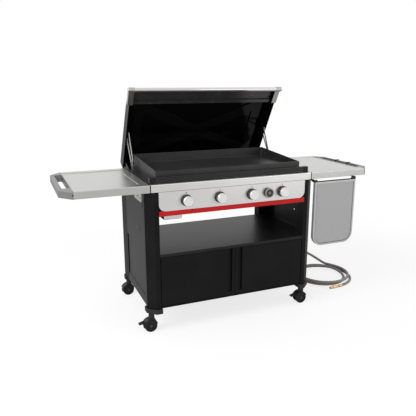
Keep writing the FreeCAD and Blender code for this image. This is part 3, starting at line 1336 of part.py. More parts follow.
def leaf_brackets():
    """Black hangers under the front edge of the right table that carry the leaf's pins."""
    y, z = LEAF_AXIS
    pieces = []
    for x in ((LEAF_LEFT - 6.5, LEAF_LEFT - 0.5), (LEAF_RIGHT + 0.5, LEAF_RIGHT + 6.5)):
        side = [
            (y - 8, z - 7), (y + 6, z - 8), (20.0, TABLE_BOTTOM - 6), (20.0, TABLE_BOTTOM),
            (y - 6, TABLE_BOTTOM), (y - 8, z + 4),
        ]
        plate = prism_x(side, x)
        pieces.append(plate.cut(rod((x[0] - 1, y, z), (x[1] + 1, y, z), LEAF_PIN_RADIUS + PIN_CLEARANCE)))
    return pieces


def caster_hood(x, y, brake):
    """Swivel body of a twin-wheel caster: stem, neck, middle web and fender."""
    wheel_x = x - CASTER_TRAIL
    z = WHEEL_RADIUS
    stem_top = FOOT_CAP_BOTTOM + STEM_PIN_LENGTH
    stem = rod((x, y, 80.0), (x, y, stem_top), STEM_PIN_RADIUS)
    neck_top = FOOT_CAP_BOTTOM - RUN_CLEARANCE
    neck = Part.makeCone(CASTER_NECK_RADIUS + 4, CASTER_NECK_RADIUS, neck_top - 78.0, V(x, y, 78.0))
    half_web = WHEEL_GAP / 2 - 1.0
    web = rod((wheel_x, y - half_web, z), (wheel_x, y + half_web, z), WHEEL_RADIUS + 5.0)
    web = web.cut(box((wheel_x - 60, wheel_x + 60), (y - 20, y + 20), (z - 60, z - 16)))
    inner = WHEEL_RADIUS + 2.0
    reach = WHEEL_GAP / 2 + WHEEL_WIDTH - 1.0
    fender = tube((wheel_x, y - reach, z), (wheel_x, y + reach, z), inner + FENDER_THICKNESS, inner)
    fender = fender.cut(box((wheel_x - 60, wheel_x + 60), (y - 40, y + 40), (z - 60, z + 12)))
    body = stem.fuse([neck.cut(rod((wheel_x, y - 40, z), (wheel_x, y + 40, z), inner)), web, fender])
    if brake:
        px, pz = brake_pivot(wheel_x)
        for side in (-1, 1):
            near, far = side * 12.4, side * 15.4
            ear = prism_y(
                [
                    (wheel_x - 30, z + 31), (wheel_x - 39, z + 12), (px - 4, pz - 4), (px - 4, pz + 4),
                    (wheel_x - 38, z + 24),
                ],
                sorted((y + near, y + far)),
            )
            body = body.fuse(ear)
        body = body.fuse(rod((px, y - 13, pz), (px, y + 13, pz), 2.0))
        body = body.cut(rod((wheel_x, y - 40, z), (wheel_x, y - half_web, z), WHEEL_RADIUS + 1.0))
        body = body.cut(rod((wheel_x, y + half_web, z), (wheel_x, y + 40, z), WHEEL_RADIUS + 1.0))
    bore = rod((wheel_x, y - 40, z), (wheel_x, y + 40, z), AXLE_RADIUS + PIN_CLEARANCE)
    return body.cut(bore).removeSplitter()


def brake_pivot(wheel_x):
    return wheel_x - 47.0, WHEEL_RADIUS + 19.0


def brake_lever(x, y):
    """Foot lever of a braked caster."""
    wheel_x = x - CASTER_TRAIL
    px, pz = brake_pivot(wheel_x)
    half = 12.0
    barrel = rod((px, y - half, pz), (px, y + half, pz), 4.5)
    pedal = prism_y(
        [
            (px - 2, pz + 4.4), (px - 20, pz + 1), (px - 24, pz - 4), (px - 22, pz - 7),
            (px - 2, pz - 4.4),
        ],
        (y - half, y + half),
    )
    return barrel.fuse(pedal).cut(
        rod((px, y - half - 1, pz), (px, y + half + 1, pz), 2.0 + PIN_CLEARANCE)
    ).removeSplitter()


def caster_wheels(x, y):
    """Two wheels and the axle that joins them."""
    wheel_x = x - CASTER_TRAIL
    z = WHEEL_RADIUS
    half_gap = WHEEL_GAP / 2
    reach = half_gap + WHEEL_WIDTH - 2
    pieces = [rod((wheel_x, y - reach, z), (wheel_x, y + reach, z), AXLE_RADIUS)]
    for side in (-1, 1):
        near, far = y + side * half_gap, y + side * (half_gap + WHEEL_WIDTH)
        wheel = rod((wheel_x, near, z), (wheel_x, far, z), WHEEL_RADIUS)
        wheel = wheel.makeFillet(3.0, edges_at(wheel, y=near) + edges_at(wheel, y=far))
        dish = tube((wheel_x, far, z), (wheel_x, far - side * 3, z), 28.0, 9.0)
        bore = rod((wheel_x, near, z), (wheel_x, far - side * 2, z), AXLE_RADIUS)
        pieces.append(wheel.cut(dish).cut(bore))
    return pieces


def coil_place(turns):
    """Point on the coil's centre line: it winds inwards on top, comes down and winds out on the floor."""
    low = HOSE_DIAMETER / 2 + COIL_LIFT
    inwards = turns / COIL_TURNS_IN
    outwards = (turns - COIL_TURNS_IN) / (COIL_TURNS - COIL_TURNS_IN)
    if inwards < 1:
        radius = COIL_START_RADIUS + (COIL_INNER_RADIUS - COIL_START_RADIUS) * inwards
    else:
        radius = COIL_INNER_RADIUS + (COIL_END_RADIUS - COIL_INNER_RADIUS) * outwards
    drop = min(1.0, max(0.0, (turns - COIL_TURNS_IN) / 0.5 + 0.5))
    height = low + COIL_LAYER * (1 - drop * drop * (3 - 2 * drop))
    angle = math.radians(COIL_START_ANGLE - 360 * turns)
    return V(COIL_CENTRE[0] + radius * math.cos(angle), COIL_CENTRE[1] + radius * math.sin(angle), height)


def coil_heading(turns):
    """Direction of the coil's centre line; its ends lie level."""
    step = 0.08
    heading = coil_place(turns + step) - coil_place(turns - step)
    return heading.normalize()


def arc_between(start, heading, end):
    """Arc that leaves start along heading and reaches end."""
    chord = end - start
    bend = heading.getAngle(chord)
    aim = (heading + V(chord).normalize()).normalize()
    middle = start + aim * (chord.Length / 2 / math.cos(bend / 2))
    return Part.Arc(start, middle, end)


def biarc(start, heading, end, final):
    """Two arcs that join two points with the given headings."""
    across = end - start
    both = heading + final
    spread = 2 * (1 - heading.dot(final))
    reach = (-across.dot(both) + math.sqrt(across.dot(both) ** 2 + spread * across.dot(across))) / spread
    middle = (start + end + (heading - final) * reach) * 0.5
    first = arc_between(start, heading, middle)
    second = arc_between(end, final * -1, middle)
    return [first, second]


def coil_curves():
    """Curves of the coil's centre line in quarter turns, with a straight end at each side."""
    steps = round(COIL_TURNS * 4)
    marks = [COIL_TURNS * n / steps for n in range(steps + 1)]
    curves = []
    for a, b in zip(marks, marks[1:]):
        curves += biarc(coil_place(a), coil_heading(a), coil_place(b), coil_heading(b))
    start, end = coil_place(0), coil_place(COIL_TURNS)
    lead_in = Part.LineSegment(start - coil_heading(0) * HOSE_DIAMETER, start)
    lead_out = Part.LineSegment(end, end + coil_heading(COIL_TURNS) * HOSE_DIAMETER)
    return [lead_in] + curves + [lead_out]


def swept(curves, start, direction):
    """Round hose along connected curves."""
    ring = Part.Wire(Part.makeCircle(HOSE_DIAMETER / 2, start, direction))
    path = Part.Wire(Part.__sortEdges__([curve.toShape() for curve in curves]))
    return path.makePipeShell([ring], True, False)


def report_tube(name, solid, curves):
    length = sum(curve.length() for curve in curves)
    ratio = solid.Volume / (math.pi * (HOSE_DIAMETER / 2) ** 2 * length)
    print(f"{name}: length {length:.0f} mm, volume over section times length {ratio:.4f}")


def hose_coil():
    curves = coil_curves()
    start = coil_place(0) - coil_heading(0) * HOSE_DIAMETER
    solid = swept(curves, start, coil_heading(0))
    report_tube("coil", solid, curves)
    count = 240
    points = [coil_place(COIL_TURNS * n / count) for n in range(count + 1)]
    apart = count // 6
    gap = min(p.distanceToPoint(q) for n, p in enumerate(points) for q in points[n + apart:])
    print(f"coil: least gap to itself {gap - HOSE_DIAMETER:.2f} mm")
    return solid


def hose_points():
    """Corner points of the free stretch: the hand-chosen route, then straight onto the coil."""
    end = coil_place(0) - coil_heading(0) * HOSE_DIAMETER
    landing = end - coil_heading(0) * HOSE_LANDING
    return [V(*p) for p in HOSE_ROUTE] + [landing, end]


def hose_stretch():
    """Free stretch of the hose: straight runs joined by tangent arcs as large as the runs allow."""
    points = hose_points()
    curves, radii = [], []
    at = points[0]
    for before, corner, after in zip(points, points[1:], points[2:]):
        run_in, run_out = corner - before, after - corner
        cut = 0.45 * min(run_in.Length, run_out.Length)
        half_turn = run_in.getAngle(run_out) / 2
        enter = corner - V(run_in).normalize() * cut
        leave = corner + V(run_out).normalize() * cut
        curves.append(Part.LineSegment(at, enter))
        curves.append(arc_between(enter, V(run_in).normalize(), leave))
        radii.append(cut / math.tan(half_turn))
        at = leave
    curves.append(Part.LineSegment(at, points[-1]))
    solid = swept(curves, points[0], points[1] - points[0])
    print("hose: radii", [round(r) for r in radii])
    report_tube("hose", solid, curves)
    return solid


def hose_fitting():
    """Brass quick fitting on the end of the coil: ferrule, hexagon, neck and end ring."""
    axis = coil_heading(COIL_TURNS)
    axis = V(axis.x, axis.y, 0).normalize()
    end = coil_place(COIL_TURNS) + axis * HOSE_DIAMETER
    side = V(0, 0, 1).cross(axis)

    def disc(start, finish, radius):
        return Part.makeCylinder(radius, finish - start, end + axis * start, axis)

    corners = []
    for k in range(6):
        angle = math.radians(60 * k)
        corners.append(
            end + axis * 26 + side * (11.0 * math.cos(angle)) + V(0, 0, 11.0 * math.sin(angle))
        )
    hexagon = polygon(corners).extrude(axis * 16)
    body = disc(0, 26, 9.5).fuse([hexagon, disc(42, 58, 7.0), disc(50, 54, 8.5), disc(58, 70, 8.5)])
    return body.cut(disc(46, 71, 4.8)).removeSplitter()


def build():
    """Every node by name, in the modelling frame."""
    nodes = {
        "table_left": [mirrored(table_sheet())],
        "table_right": [table_sheet()],
        "end_caps": pair(end_cap()),
        "hook_clips": hook_clips(),
        "table_brackets": table_brackets(),
        "front_rail": [front_rail()],
        "front_columns": front_columns(),
        "rear_columns": rear_columns(),
        "foot_caps": foot_caps(),
        "side_panels": side_panels(),
        "mid_shelf": [mid_shelf()],
        "cabinet_floor": [cabinet_floor()],
        "cabinet_back": [cabinet_back()],
        "door_left": [mirrored(door())],
        "door_right": [door()],
        "cookbox_shell": [cookbox_shell()],
        "cookbox_front_panel": [cookbox_front_panel()],
        "side_rails": side_rails(),
        "griddle_plate": [griddle_plate()],
        "burners": burners(),
        "gas_line": [gas_line()],
        "gas_valves": gas_valves(),
        "control_panel": [control_panel()],
        "knob_bezels": knob_bezels(),
        "display": display(),
        "red_rail": [red_rail()],
        "tray_front": [tray_front()],
        "tray_holder": [tray_holder()],
        "catch_pan": [catch_pan()],
        "arm_brackets": arm_brackets(),
        "front_arms": front_arms(),
        "rear_arms": rear_arms(),
        "lid_tabs": lid_tabs(),
        "lid_shell": [lid_shell()],
        "lid_liner": [lid_liner()],
        "lid_front_channel": [lid_front_channel()],
        "lid_handle": [lid_handle()],
        "lid_handle_brackets": lid_handle_brackets(),
        "leaf_frame": [leaf_frame()],
        "leaf_board": [leaf_board()],
        "leaf_hinge_bar": [leaf_hinge_bar()],
        "leaf_brackets": leaf_brackets(),
        "hose_stretch": [hose_stretch()],
        "hose_coil": [hose_coil()],
        "hose_fitting": [hose_fitting()],
    }
    for k in range(4):
        nodes[f"knob_{k + 1}"] = [knob(k)]
    for name, x, y, brake in caster_spots():
        nodes[f"caster_{name}_hood"] = [caster_hood(x, y, brake)]
        nodes[f"caster_{name}_wheels"] = caster_wheels(x, y)
        if brake:
            nodes[f"caster_{name}_brake"] = [brake_lever(x, y)]
    return nodes


CORD_NODES = ("hose_stretch", "hose_coil", "hose_fitting")


def floor_centre(nodes):
    """Middle of the footprint of everything but the hose, on the floor."""
    whole = FreeCAD.BoundBox()
    for name, solids in nodes.items():
        if name not in CORD_NODES:
            for solid in solids:
                whole.add(solid.optimalBoundingBox(False, False))
    return V((whole.XMin + whole.XMax) / 2, (whole.YMin + whole.YMax) / 2, whole.ZMin)


def main():
    os.makedirs("parts", exist_ok=True)
    nodes = build()
    origin = floor_centre(nodes)
    print("origin in the modelling frame", origin)
    print(f"lid arms: front {FRONT_SWING:.2f}, rear {REAR_SWING:.2f} degrees")
    print(f"open pivot wanders {open_pivot_error():.2f} mm")
    for name, solids in nodes.items():
        placed = [solid.translated(-origin) for solid in solids]
        shape = placed[0] if len(placed) == 1 else Part.makeCompound(placed)
        shape.exportStep(f"parts/{name}.step")
    print(len(nodes), "nodes")
    return nodes, origin


NODES, ORIGIN = main()
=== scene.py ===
"""Outdoor gas griddle station on a pale studio floor.

The CAD frame gets its finishes, the gas hose and the small pieces; then come the floor, light and camera.
"""

import math

import bmesh
import bpy
from mathutils import Matrix, Vector


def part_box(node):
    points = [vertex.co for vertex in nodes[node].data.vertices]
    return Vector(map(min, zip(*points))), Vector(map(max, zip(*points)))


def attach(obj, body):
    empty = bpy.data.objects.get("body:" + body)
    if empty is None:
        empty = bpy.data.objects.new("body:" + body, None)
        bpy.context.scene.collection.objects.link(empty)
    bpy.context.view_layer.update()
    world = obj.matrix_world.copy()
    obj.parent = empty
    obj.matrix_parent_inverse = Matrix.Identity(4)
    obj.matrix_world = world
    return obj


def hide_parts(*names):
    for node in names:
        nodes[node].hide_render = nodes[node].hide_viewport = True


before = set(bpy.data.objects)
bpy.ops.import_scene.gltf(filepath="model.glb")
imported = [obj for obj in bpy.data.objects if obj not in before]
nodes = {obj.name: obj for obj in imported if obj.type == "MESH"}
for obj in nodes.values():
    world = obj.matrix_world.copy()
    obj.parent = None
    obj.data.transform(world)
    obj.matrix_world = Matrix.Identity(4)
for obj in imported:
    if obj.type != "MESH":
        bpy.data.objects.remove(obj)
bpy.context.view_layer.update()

MM = 0.001

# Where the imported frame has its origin, seen from above, in metres of the part's own coordinates
FRAME_ORIGIN = (0.009864, 0.382004)

# Directions from the station, and its sides
FORWARDS = (0, -1, 0)
BACKWARDS = (0, 1, 0)
DOWNWARDS = (0, 0, -1)
SIDES = ((-1, "left"), (1, "right"))

# Photograph's camera: place in metres, angles in degrees, lens and centre in pixels
CAMERA_PLACE = (-1.2231, -2.9164, 1.4289)
CAMERA_YAW = 22.637
CAMERA_PITCH = 13.959
PHOTO_WIDTH = 416.0
FOCAL_PIXELS = 491.44
CENTRE_PIXEL = (211.53, 205.17)
SENSOR_MM = 36.0

# Gas hose in metres of the part's own coordinates: it lands some way before the coil starts, and the
# corners of its route, from the inlet down to there, were chosen
HOSE_DIAMETER = 0.019
HOSE_LANDING = 0.044
HOSE_ROUTE = [
    (0.512, 0.678, 0.704),
    (0.512, 0.678, 0.628),
    (0.518, 0.681, 0.540),
    (0.540, 0.686, 0.455),
    (0.580, 0.690, 0.375),
    (0.636, 0.691, 0.306),
    (0.704, 0.687, 0.250),
    (0.776, 0.678, 0.200),
    (0.848, 0.662, 0.155),
    (0.912, 0.643, 0.118),
    (0.966, 0.621, 0.088),
    (1.011, 0.588, 0.056),
]

# Coil of the hose in the same metres and in turns, with the angle in degrees at which it starts; it drops
# from the upper layer to the floor half before and half after the turn where it begins to wind outwards
COIL_CENTRE = (0.905, 0.376)
COIL_START_ANGLE = 32.0
COIL_START_RADIUS = 0.202
COIL_INNER_RADIUS = 0.160
COIL_END_RADIUS = 0.219
COIL_TURNS_IN = 1.1
COIL_TURNS = 840.0 / 360.0
COIL_DROP_TURNS = 0.5
COIL_LIFT = 0.0003
COIL_LAYER = 0.020
COIL_POINTS_PER_TURN = 24
COIL_HEADING_STEP = 0.01

# Knobs and display, in the part's own millimetres: places as x and z, the knobs' cap and ribbed band as
# distances in front of the panel, the display's seam and face as y
KNOB_COUNT = 4
KNOB_SPACING = 206.0
KNOB_HEIGHT = 790.0
KNOB_CAP_START = 25.3
KNOB_BAND = (13.8, 22.8)
DISPLAY_PLACE = (213.0, 790.0)
DISPLAY_GLASS = 23.0
DISPLAY_RING_EDGE = 0.4
DISPLAY_SEAM = -17.0
DISPLAY_FACE = -18.5

# Open lid and drop leaf, in the part's own millimetres: a corner of the lid as y and z, how far the lid is
# turned back, how deep its pressed cross lies, and the leaf's corner radius and the width of the painted
# shade round its board
LID_OPEN_CORNER = (422.0, 1377.3)
LID_OPEN_ANGLE = math.radians(59.3)
LINER_PRESSED_DEPTH = 69.0
LEAF_BOARD_RADIUS = 58.0
LEAF_GAP_SHADE_WIDTH = 3.2

# Screws: places in the part's own millimetres; a head is given by its radius, height and socket radius
TABLE_DEPTH = 614.0
CAP_SCREW_HEAD = (4.7, 2.6, 2.1)
CAP_SCREW_X = 924.0
CAP_SCREW_Z = 869.0
CAP_SCREW_SEAT = 3.0
CAP_SCREW_ENDS = (("front", CAP_SCREW_SEAT, FORWARDS), ("back", TABLE_DEPTH - CAP_SCREW_SEAT, BACKWARDS))
BRACKET_SCREW_HEAD = (6.0, 3.4, 2.6)
BRACKET_FACE = 546.0
BRACKET_SCREW_Y = (114.0, 174.0, 450.0, 510.0)
BRACKET_SCREW_Z = 800.0
BACK_SCREW_HEAD = (4.5, 2.4, 2.0)
BACK_FACE = 585.5
BACK_SCREW_PLACES = [
    (-452, 182),
    (-452, 448),
    (0, 182),
    (0, 448),
    (452, 182),
    (452, 448),
    (-452, 316),
    (452, 316),
]

# Screw head: its outline in shares of radius and height, the depth of its socket as a share of the height,
# and how far in the socket's round edge is drawn at each angle from a corner, to make it a hexagon
HEAD_OUTLINE = ((1.0, 0.0), (1.0, 0.35), (0.86, 0.8), (0.62, 1.0))
SOCKET_DEPTH = 0.55
SOCKET_CORNER_ANGLE = 60
SOCKET_FLATS = ((15, 0.8966), (30, 0.8660), (45, 0.8966))

# Finding a point or face again: metres, degrees, and a margin as a share of the radius
SAME_PLACE = 1e-6
SAME_ANGLE = 1
MARGIN = 1.01

# Small round pieces, in millimetres: their outlines as (radius, height) steps, how far the ferrule reaches
# over the hose, and the places of the dial and the ring in front of the display's face
WHEEL_CAP_OUTLINE = [(8.0, 0), (8.0, 0.5), (7.4, 1.0), (5.0, 1.5), (2.0, 1.7)]
LENS_OUTLINE = [(22.6, 0), (22.6, 0.5), (21.6, 0.9), (15.0, 1.1), (4.0, 1.15)]
DIAL_OUTLINE = [(10.5, 0), (10.5, 0.25), (10.1, 0.35)]
FERRULE_OUTLINE = [
    (9.75, 0),
    (10.0, 0.6),
    (10.0, 5),
    (9.8, 6),
    (10.0, 7),
    (10.0, 13),
    (9.8, 14),
    (10.0, 15),
    (10.0, 24),
    (9.75, 25),
]
FERRULE_OVERLAP = 16.0
DIAL_LIFT = 1.12
DISPLAY_RING_LIFT = 0.7
DISPLAY_RING_RADIUS = 18.6
DISPLAY_RING_WIRE = 0.7

# Ribbed sleeve of the hose: collar, ribs that get smaller, and one rib's steps from its radius and start
SLEEVE_COLLAR = [(11.6, 0), (11.6, 6)]
SLEEVE_RIBS = 5
SLEEVE_RIB_START = 6
SLEEVE_RIB_PITCH = 6.0
SLEEVE_RIB_RADIUS = 11.2
SLEEVE_RIB_TAPER = 0.3
SLEEVE_RIB_STEPS = ((-0.9, 0.4), (-0.9, 2.4), (0.0, 2.8), (-0.2, 5.6))
SLEEVE_END = (9.9, 37.0)

# Small bars on the panel, in the part's own millimetres: sizes, places and roundings
BAR_SEGMENTS = 3
MARK_SIZE = (4.0, 0.8, 10.0)
MARK_RISE = 42.0
MARK_DEPTH = -0.35
MARK_ROUNDING = 0.3
LAMP_MARK_SIZE = (7.0, 0.8, 4.0)
LAMP_MARK_SHIFT = (-11.0, -33.0)
# the dark strip along the rail's lower edge is painted shadow
RAIL_SHADOW_STRIP_SIZE = (936.0, 0.8, 2.0)
RAIL_SHADOW_STRIP_PLACE = (0.0, -0.1, 848.0)
RAIL_SHADOW_STRIP_ROUNDING = 0.2

# Floor: size in metres, grey, and the share and strength of its glow near the station, which turns to
# white between two distances from it
FLOOR_SIZE = 60.0
FLOOR_TONE = 0.9
FLOOR_GLOW_SHARE = 0.66
FLOOR_GLOW = 1.17
FLOOR_FADE = (1.7, 3.4)

# Light: the world's strength on the object; each lamp's name, place, target and size in metres, and watts
WORLD_LIGHT = 0.55
LAMPS = [
    ("key_lamp", (-3.6, -1.4, 3.2), (0, 0, 0.7), (2.4, 2.4), 95.0),
    ("fill_lamp", (2.4, -3.4, 1.3), (0, 0, 0.6), (2.2, 1.6), 15.0),
]

# Finishes: the part of a noise's range that a pattern uses, from narrow to wide, and the one of enamel
NARROW = (0.35, 0.65)
MIDDLE = (0.3, 0.7)
BROAD = (0.25, 0.75)
WIDE = (0.2, 0.8)
ENAMEL = (0.35, 0.7)

# Brushed metal: streaks per metre across and along the brushing, slant and density of the crossed hatch
BRUSH_ACROSS = 620.0
BRUSH_ALONG = 9.0
HATCH_SLANT = math.radians(38)
HATCH_DENSITY = 150.0
BRUSHED_GLOSS_SPREAD = 0.10

# Mix node: places of its colour sockets, because others have the same names
MIX_FIRST = 6
MIX_SECOND = 7
MIX_RESULT = 2


def spot(x, y, z):
    """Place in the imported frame, in metres, of a point given in the part's own millimetres."""
    return Vector((x * MM - FRAME_ORIGIN[0], y * MM - FRAME_ORIGIN[1], z * MM))


def grey(tone):
    """Neutral colour."""
    return (tone, tone, tone)


def toned(color, share, lift=0.0):
    """Lighter or darker form of a colour."""
    return [min(1.0, part * share + lift) for part in color]


# Shader nodes

def fill(tree, socket, value):
    """Give a socket a link, a colour without its alpha, or a plain value."""
    if isinstance(value, bpy.types.NodeSocket):
        tree.links.new(value, socket)
    elif socket.type == "RGBA":
        socket.default_value = (*value, 1.0)
    else:
        socket.default_value = value


def add(tree, kind, *values, **named):
    """Shader node; values fill its sockets in order or by name, and _names are its properties."""
    node = tree.nodes.new(kind)
    for name, value in named.items():
        if name.startswith("_"):
            setattr(node, name[1:], value)
    for socket, value in zip(node.inputs, values):
        fill(tree, socket, value)
    for name, value in named.items():
        if not name.startswith("_"):
            fill(tree, node.inputs[name], value)
    return node


def maths(tree, operation, *values):
    """Result of a Math node."""
    return add(tree, "ShaderNodeMath", *values, _operation=operation).outputs[0]


def measured(tree, operation, *values):
    """Number that a Vector Math node gives, such as a length."""
    return add(tree, "ShaderNodeVectorMath", *values, _operation=operation).outputs["Value"]


def axes(tree, vector):
    """Sockets X, Y and Z of a vector."""
    return add(tree, "ShaderNodeSeparateXYZ", vector).outputs


def stretched(tree, place, scale, rotation=(0.0, 0.0, 0.0)):
    """Coordinate turned and scaled, so that a pattern on it is drawn out."""
    return add(tree, "ShaderNodeMapping", Vector=place, Rotation=rotation, Scale=scale).outputs["Vector"]


def noise(tree, place, scale=1.0, detail=2.0, roughness=0.5):
    """Noise pattern on a coordinate."""
    made = add(tree, "ShaderNodeTexNoise", Vector=place, Scale=scale, Detail=detail, Roughness=roughness)
    return made.outputs["Fac"]


def ramped(tree, value, span, result=(0.0, 1.0)):
    """Value mapped from one span to another and held at the ends."""
    return add(tree, "ShaderNodeMapRange", value, *span, *result).outputs["Result"]


def mixed(tree, share, first, second):
    """Colour between two colours or sockets."""
    blend = add(tree, "ShaderNodeMix", _data_type="RGBA")
    fill(tree, blend.inputs["Factor"], share)
    fill(tree, blend.inputs[MIX_FIRST], first)
    fill(tree, blend.inputs[MIX_SECOND], second)
    return blend.outputs[MIX_RESULT]


# Steps that finishes share

def start_finish(name, color, metallic=0.0, roughness=0.5, specular=0.5):
    """Material with a Principled shader and an Object coordinate, ready for its pattern."""
    made = bpy.data.materials.new(name)
    made.use_nodes = True
    tree = made.node_tree
    shader = tree.nodes["Principled BSDF"]
    fill(tree, shader.inputs["Base Color"], color)
    shader.inputs["Metallic"].default_value = metallic
    shader.inputs["Roughness"].default_value = roughness
    shader.inputs["Specular IOR Level"].default_value = specular
    place = add(tree, "ShaderNodeTexCoord").outputs["Object"]
    return made, tree, shader, place


def painted(tree, shader, share, first, second):
    """Base colour between two colours."""
    fill(tree, shader.inputs["Base Color"], mixed(tree, share, first, second))


def varied(tree, shader, socket, pattern, span, result):
    """Shader's roughness or metal that follows a pattern."""
    fill(tree, shader.inputs[socket], ramped(tree, pattern, span, result))


def bumped(tree, shader, height, strength, distance):
    """Fine relief on the surface."""
    bump = add(tree, "ShaderNodeBump", Height=height, Strength=strength, Distance=distance)
    fill(tree, shader.inputs["Normal"], bump.outputs["Normal"])


# Finishes

def brushed_metal(name, color, roughness, along, streak=0.05, hatch=0.0):
    """Stainless sheet brushed along one axis, with faint streaks, a crossed hatch and an uneven gloss."""
    made, tree, shader, place = start_finish(name, color, metallic=1.0, roughness=roughness)
    scale = [BRUSH_ACROSS] * 3
    scale["XYZ".index(along)] = BRUSH_ALONG
    lines = noise(tree, stretched(tree, place, scale), detail=3.0, roughness=0.6)
    cloud = noise(tree, place, scale=5.0, detail=3.0)
    dark = toned(color, 1 - 2 * streak)
    tone = mixed(tree, ramped(tree, lines, MIDDLE), dark, color)
    if hatch:
        slanted = stretched(tree, place, [HATCH_DENSITY] * 3, rotation=(0.0, HATCH_SLANT, 0.0))
        cross = add(tree, "ShaderNodeTexWave", Vector=slanted, Scale=1.0, Distortion=0.6).outputs["Fac"]
        tone = mixed(tree, ramped(tree, cross, WIDE, (0.0, hatch)), tone, dark)
    fill(tree, shader.inputs["Base Color"], tone)
    least = roughness - BRUSHED_GLOSS_SPREAD / 2
    fill(tree, shader.inputs["Roughness"], maths(tree, "MULTIPLY_ADD", cloud, BRUSHED_GLOSS_SPREAD, least))
    bumped(tree, shader, lines, strength=0.06, distance=0.0004)
    return made


def powder_coat(name, color, roughness, specular):
    """Baked powder paint: a fine orange peel and slightly uneven gloss."""
    made, tree, shader, place = start_finish(name, color, roughness=roughness, specular=specular)
    fine = noise(tree, place, scale=900.0)
    cloud = noise(tree, place, scale=6.0, detail=4.0)
    painted(tree, shader, ramped(tree, cloud, NARROW), color, toned(color, 1.18, lift=0.002))
    varied(tree, shader, "Roughness", fine, WIDE, (roughness - 0.06, roughness + 0.06))
    bumped(tree, shader, fine, strength=0.12, distance=0.0003)
    return made


def black_enamel(name, color, roughness, specular, wave_height=0.015):
    """Glossy porcelain enamel with a long, soft waviness."""
    made, tree, shader, place = start_finish(name, color, roughness=roughness, specular=specular)
    wave = noise(tree, place, scale=9.0)
    fine = noise(tree, place, scale=340.0)
    relief = maths(tree, "MULTIPLY_ADD", fine, 0.12, wave)
    painted(tree, shader, ramped(tree, wave, ENAMEL), color, toned(color, 1.4))
    varied(tree, shader, "Roughness", wave, MIDDLE, (roughness * 0.94, roughness * 1.08))
    bumped(tree, shader, relief, strength=wave_height, distance=0.0010)
    return made


def liner_enamel_with_painted_shade(name, flat, pressed, roughness, specular):
    """Dull black enamel of the lid's liner with painted shade: its deeper panels are painted darker than
    its pressed cross and side strips.
    """
    made, tree, shader, place = start_finish(name, flat, roughness=roughness, specular=specular)
    corner = spot(0.0, *LID_OPEN_CORNER)
    inwards = Vector((0.0, math.sin(LID_OPEN_ANGLE), math.cos(LID_OPEN_ANGLE)))
    height = measured(tree, "DOT_PRODUCT", place, inwards)
    painted_lit_part = maths(tree, "LESS_THAN", height, corner.dot(inwards) + LINER_PRESSED_DEPTH * MM)
    # painted shade and light: the deeper panels get the darker black, the pressed cross and strips the
    # lighter one
    painted(tree, shader, painted_lit_part, flat, pressed)
    bumped(tree, shader, noise(tree, place, scale=9.0), strength=0.010, distance=0.0010)
    return made


def seasoned_steel(name):
    """Carbon steel cooking plate with a thin uneven seasoning."""
    made, tree, shader, place = start_finish(
        name, (0.03, 0.03, 0.031), metallic=0.3, roughness=0.42, specular=0.45)
    cloud = noise(tree, place, scale=7.0, detail=6.0, roughness=0.6)
    mill = noise(tree, stretched(tree, place, (30.0, 900.0, 900.0)))
    painted(tree, shader, ramped(tree, cloud, MIDDLE), (0.026, 0.026, 0.027), (0.044, 0.044, 0.046))
    varied(tree, shader, "Roughness", cloud, BROAD, (0.34, 0.50))
    bumped(tree, shader, mill, strength=0.10, distance=0.0004)
    return made


def gloss_paint(name, color):
    """Red enamel paint on steel."""
    made, tree, shader, place = start_finish(name, color, roughness=0.32, specular=0.25)
    cloud = noise(tree, place, scale=12.0, detail=3.0)
    painted(tree, shader, ramped(tree, cloud, MIDDLE), toned(color, 0.88), color)
    bumped(tree, shader, noise(tree, place, scale=500.0), strength=0.06, distance=0.0003)
    return made


def moulded_plastic(name, color, roughness=0.5):
    """Moulded plastic with a fine grain."""
    made, tree, shader, place = start_finish(name, color, roughness=roughness, specular=0.4)
    grain = noise(tree, place, scale=1400.0)
    cloud = noise(tree, place, scale=15.0, detail=3.0)
    painted(tree, shader, ramped(tree, cloud, MIDDLE), color, toned(color, 1.25, lift=0.002))
    bumped(tree, shader, grain, strength=0.18, distance=0.0002)
    return made


def speckled_board(name, color, roughness):
    """Finely speckled grey board with painted shade in the gap round its sides and foot."""
    made, tree, shader, place = start_finish(name, color, roughness=roughness, specular=0.4)
    speckle = noise(tree, place, scale=190.0, detail=3.0, roughness=0.7)
    tone = mixed(tree, ramped(tree, speckle, NARROW), toned(color, 0.80), toned(color, 1.18))
    low, high = (Vector(corner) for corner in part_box("leaf_board"))
    half = (high - low) / 2
    middle = add(tree, "ShaderNodeVectorMath", place, (low + high) / 2, _operation="SUBTRACT").outputs[0]
    offset = axes(tree, middle)
    across = maths(tree, "ABSOLUTE", offset["X"])
    down = maths(tree, "MULTIPLY", offset["Z"], -1.0)
    past_corner = []
    for distance, limit in ((across, half.x), (down, half.z)):
        over = maths(tree, "SUBTRACT", distance, limit - LEAF_BOARD_RADIUS * MM)
        past_corner.append(maths(tree, "MAXIMUM", over, 0.0))
    from_centre = add(tree, "ShaderNodeCombineXYZ", *past_corner).outputs["Vector"]
    far = measured(tree, "LENGTH", from_centre)
    # painted shade: a dark band along the board's rounded edge stands in for the shadow in the gap to its
    # frame
    painted_gap_shade = maths(tree, "GREATER_THAN", far, (LEAF_BOARD_RADIUS - LEAF_GAP_SHADE_WIDTH) * MM)
    painted(tree, shader, painted_gap_shade, tone, grey(0.05))
    bumped(tree, shader, noise(tree, place, scale=1400.0), strength=0.12, distance=0.0002)
    return made


def plain_metal(name, color, roughness):
    """Plated or cast metal with an uneven gloss."""
    made, tree, shader, place = start_finish(name, color, metallic=1.0, roughness=roughness)
    cloud = noise(tree, place, scale=60.0, detail=4.0)
    varied(tree, shader, "Roughness", cloud, WIDE, (roughness * 0.8, roughness * 1.25))
    bumped(tree, shader, cloud, strength=0.04, distance=0.0005)
    return made


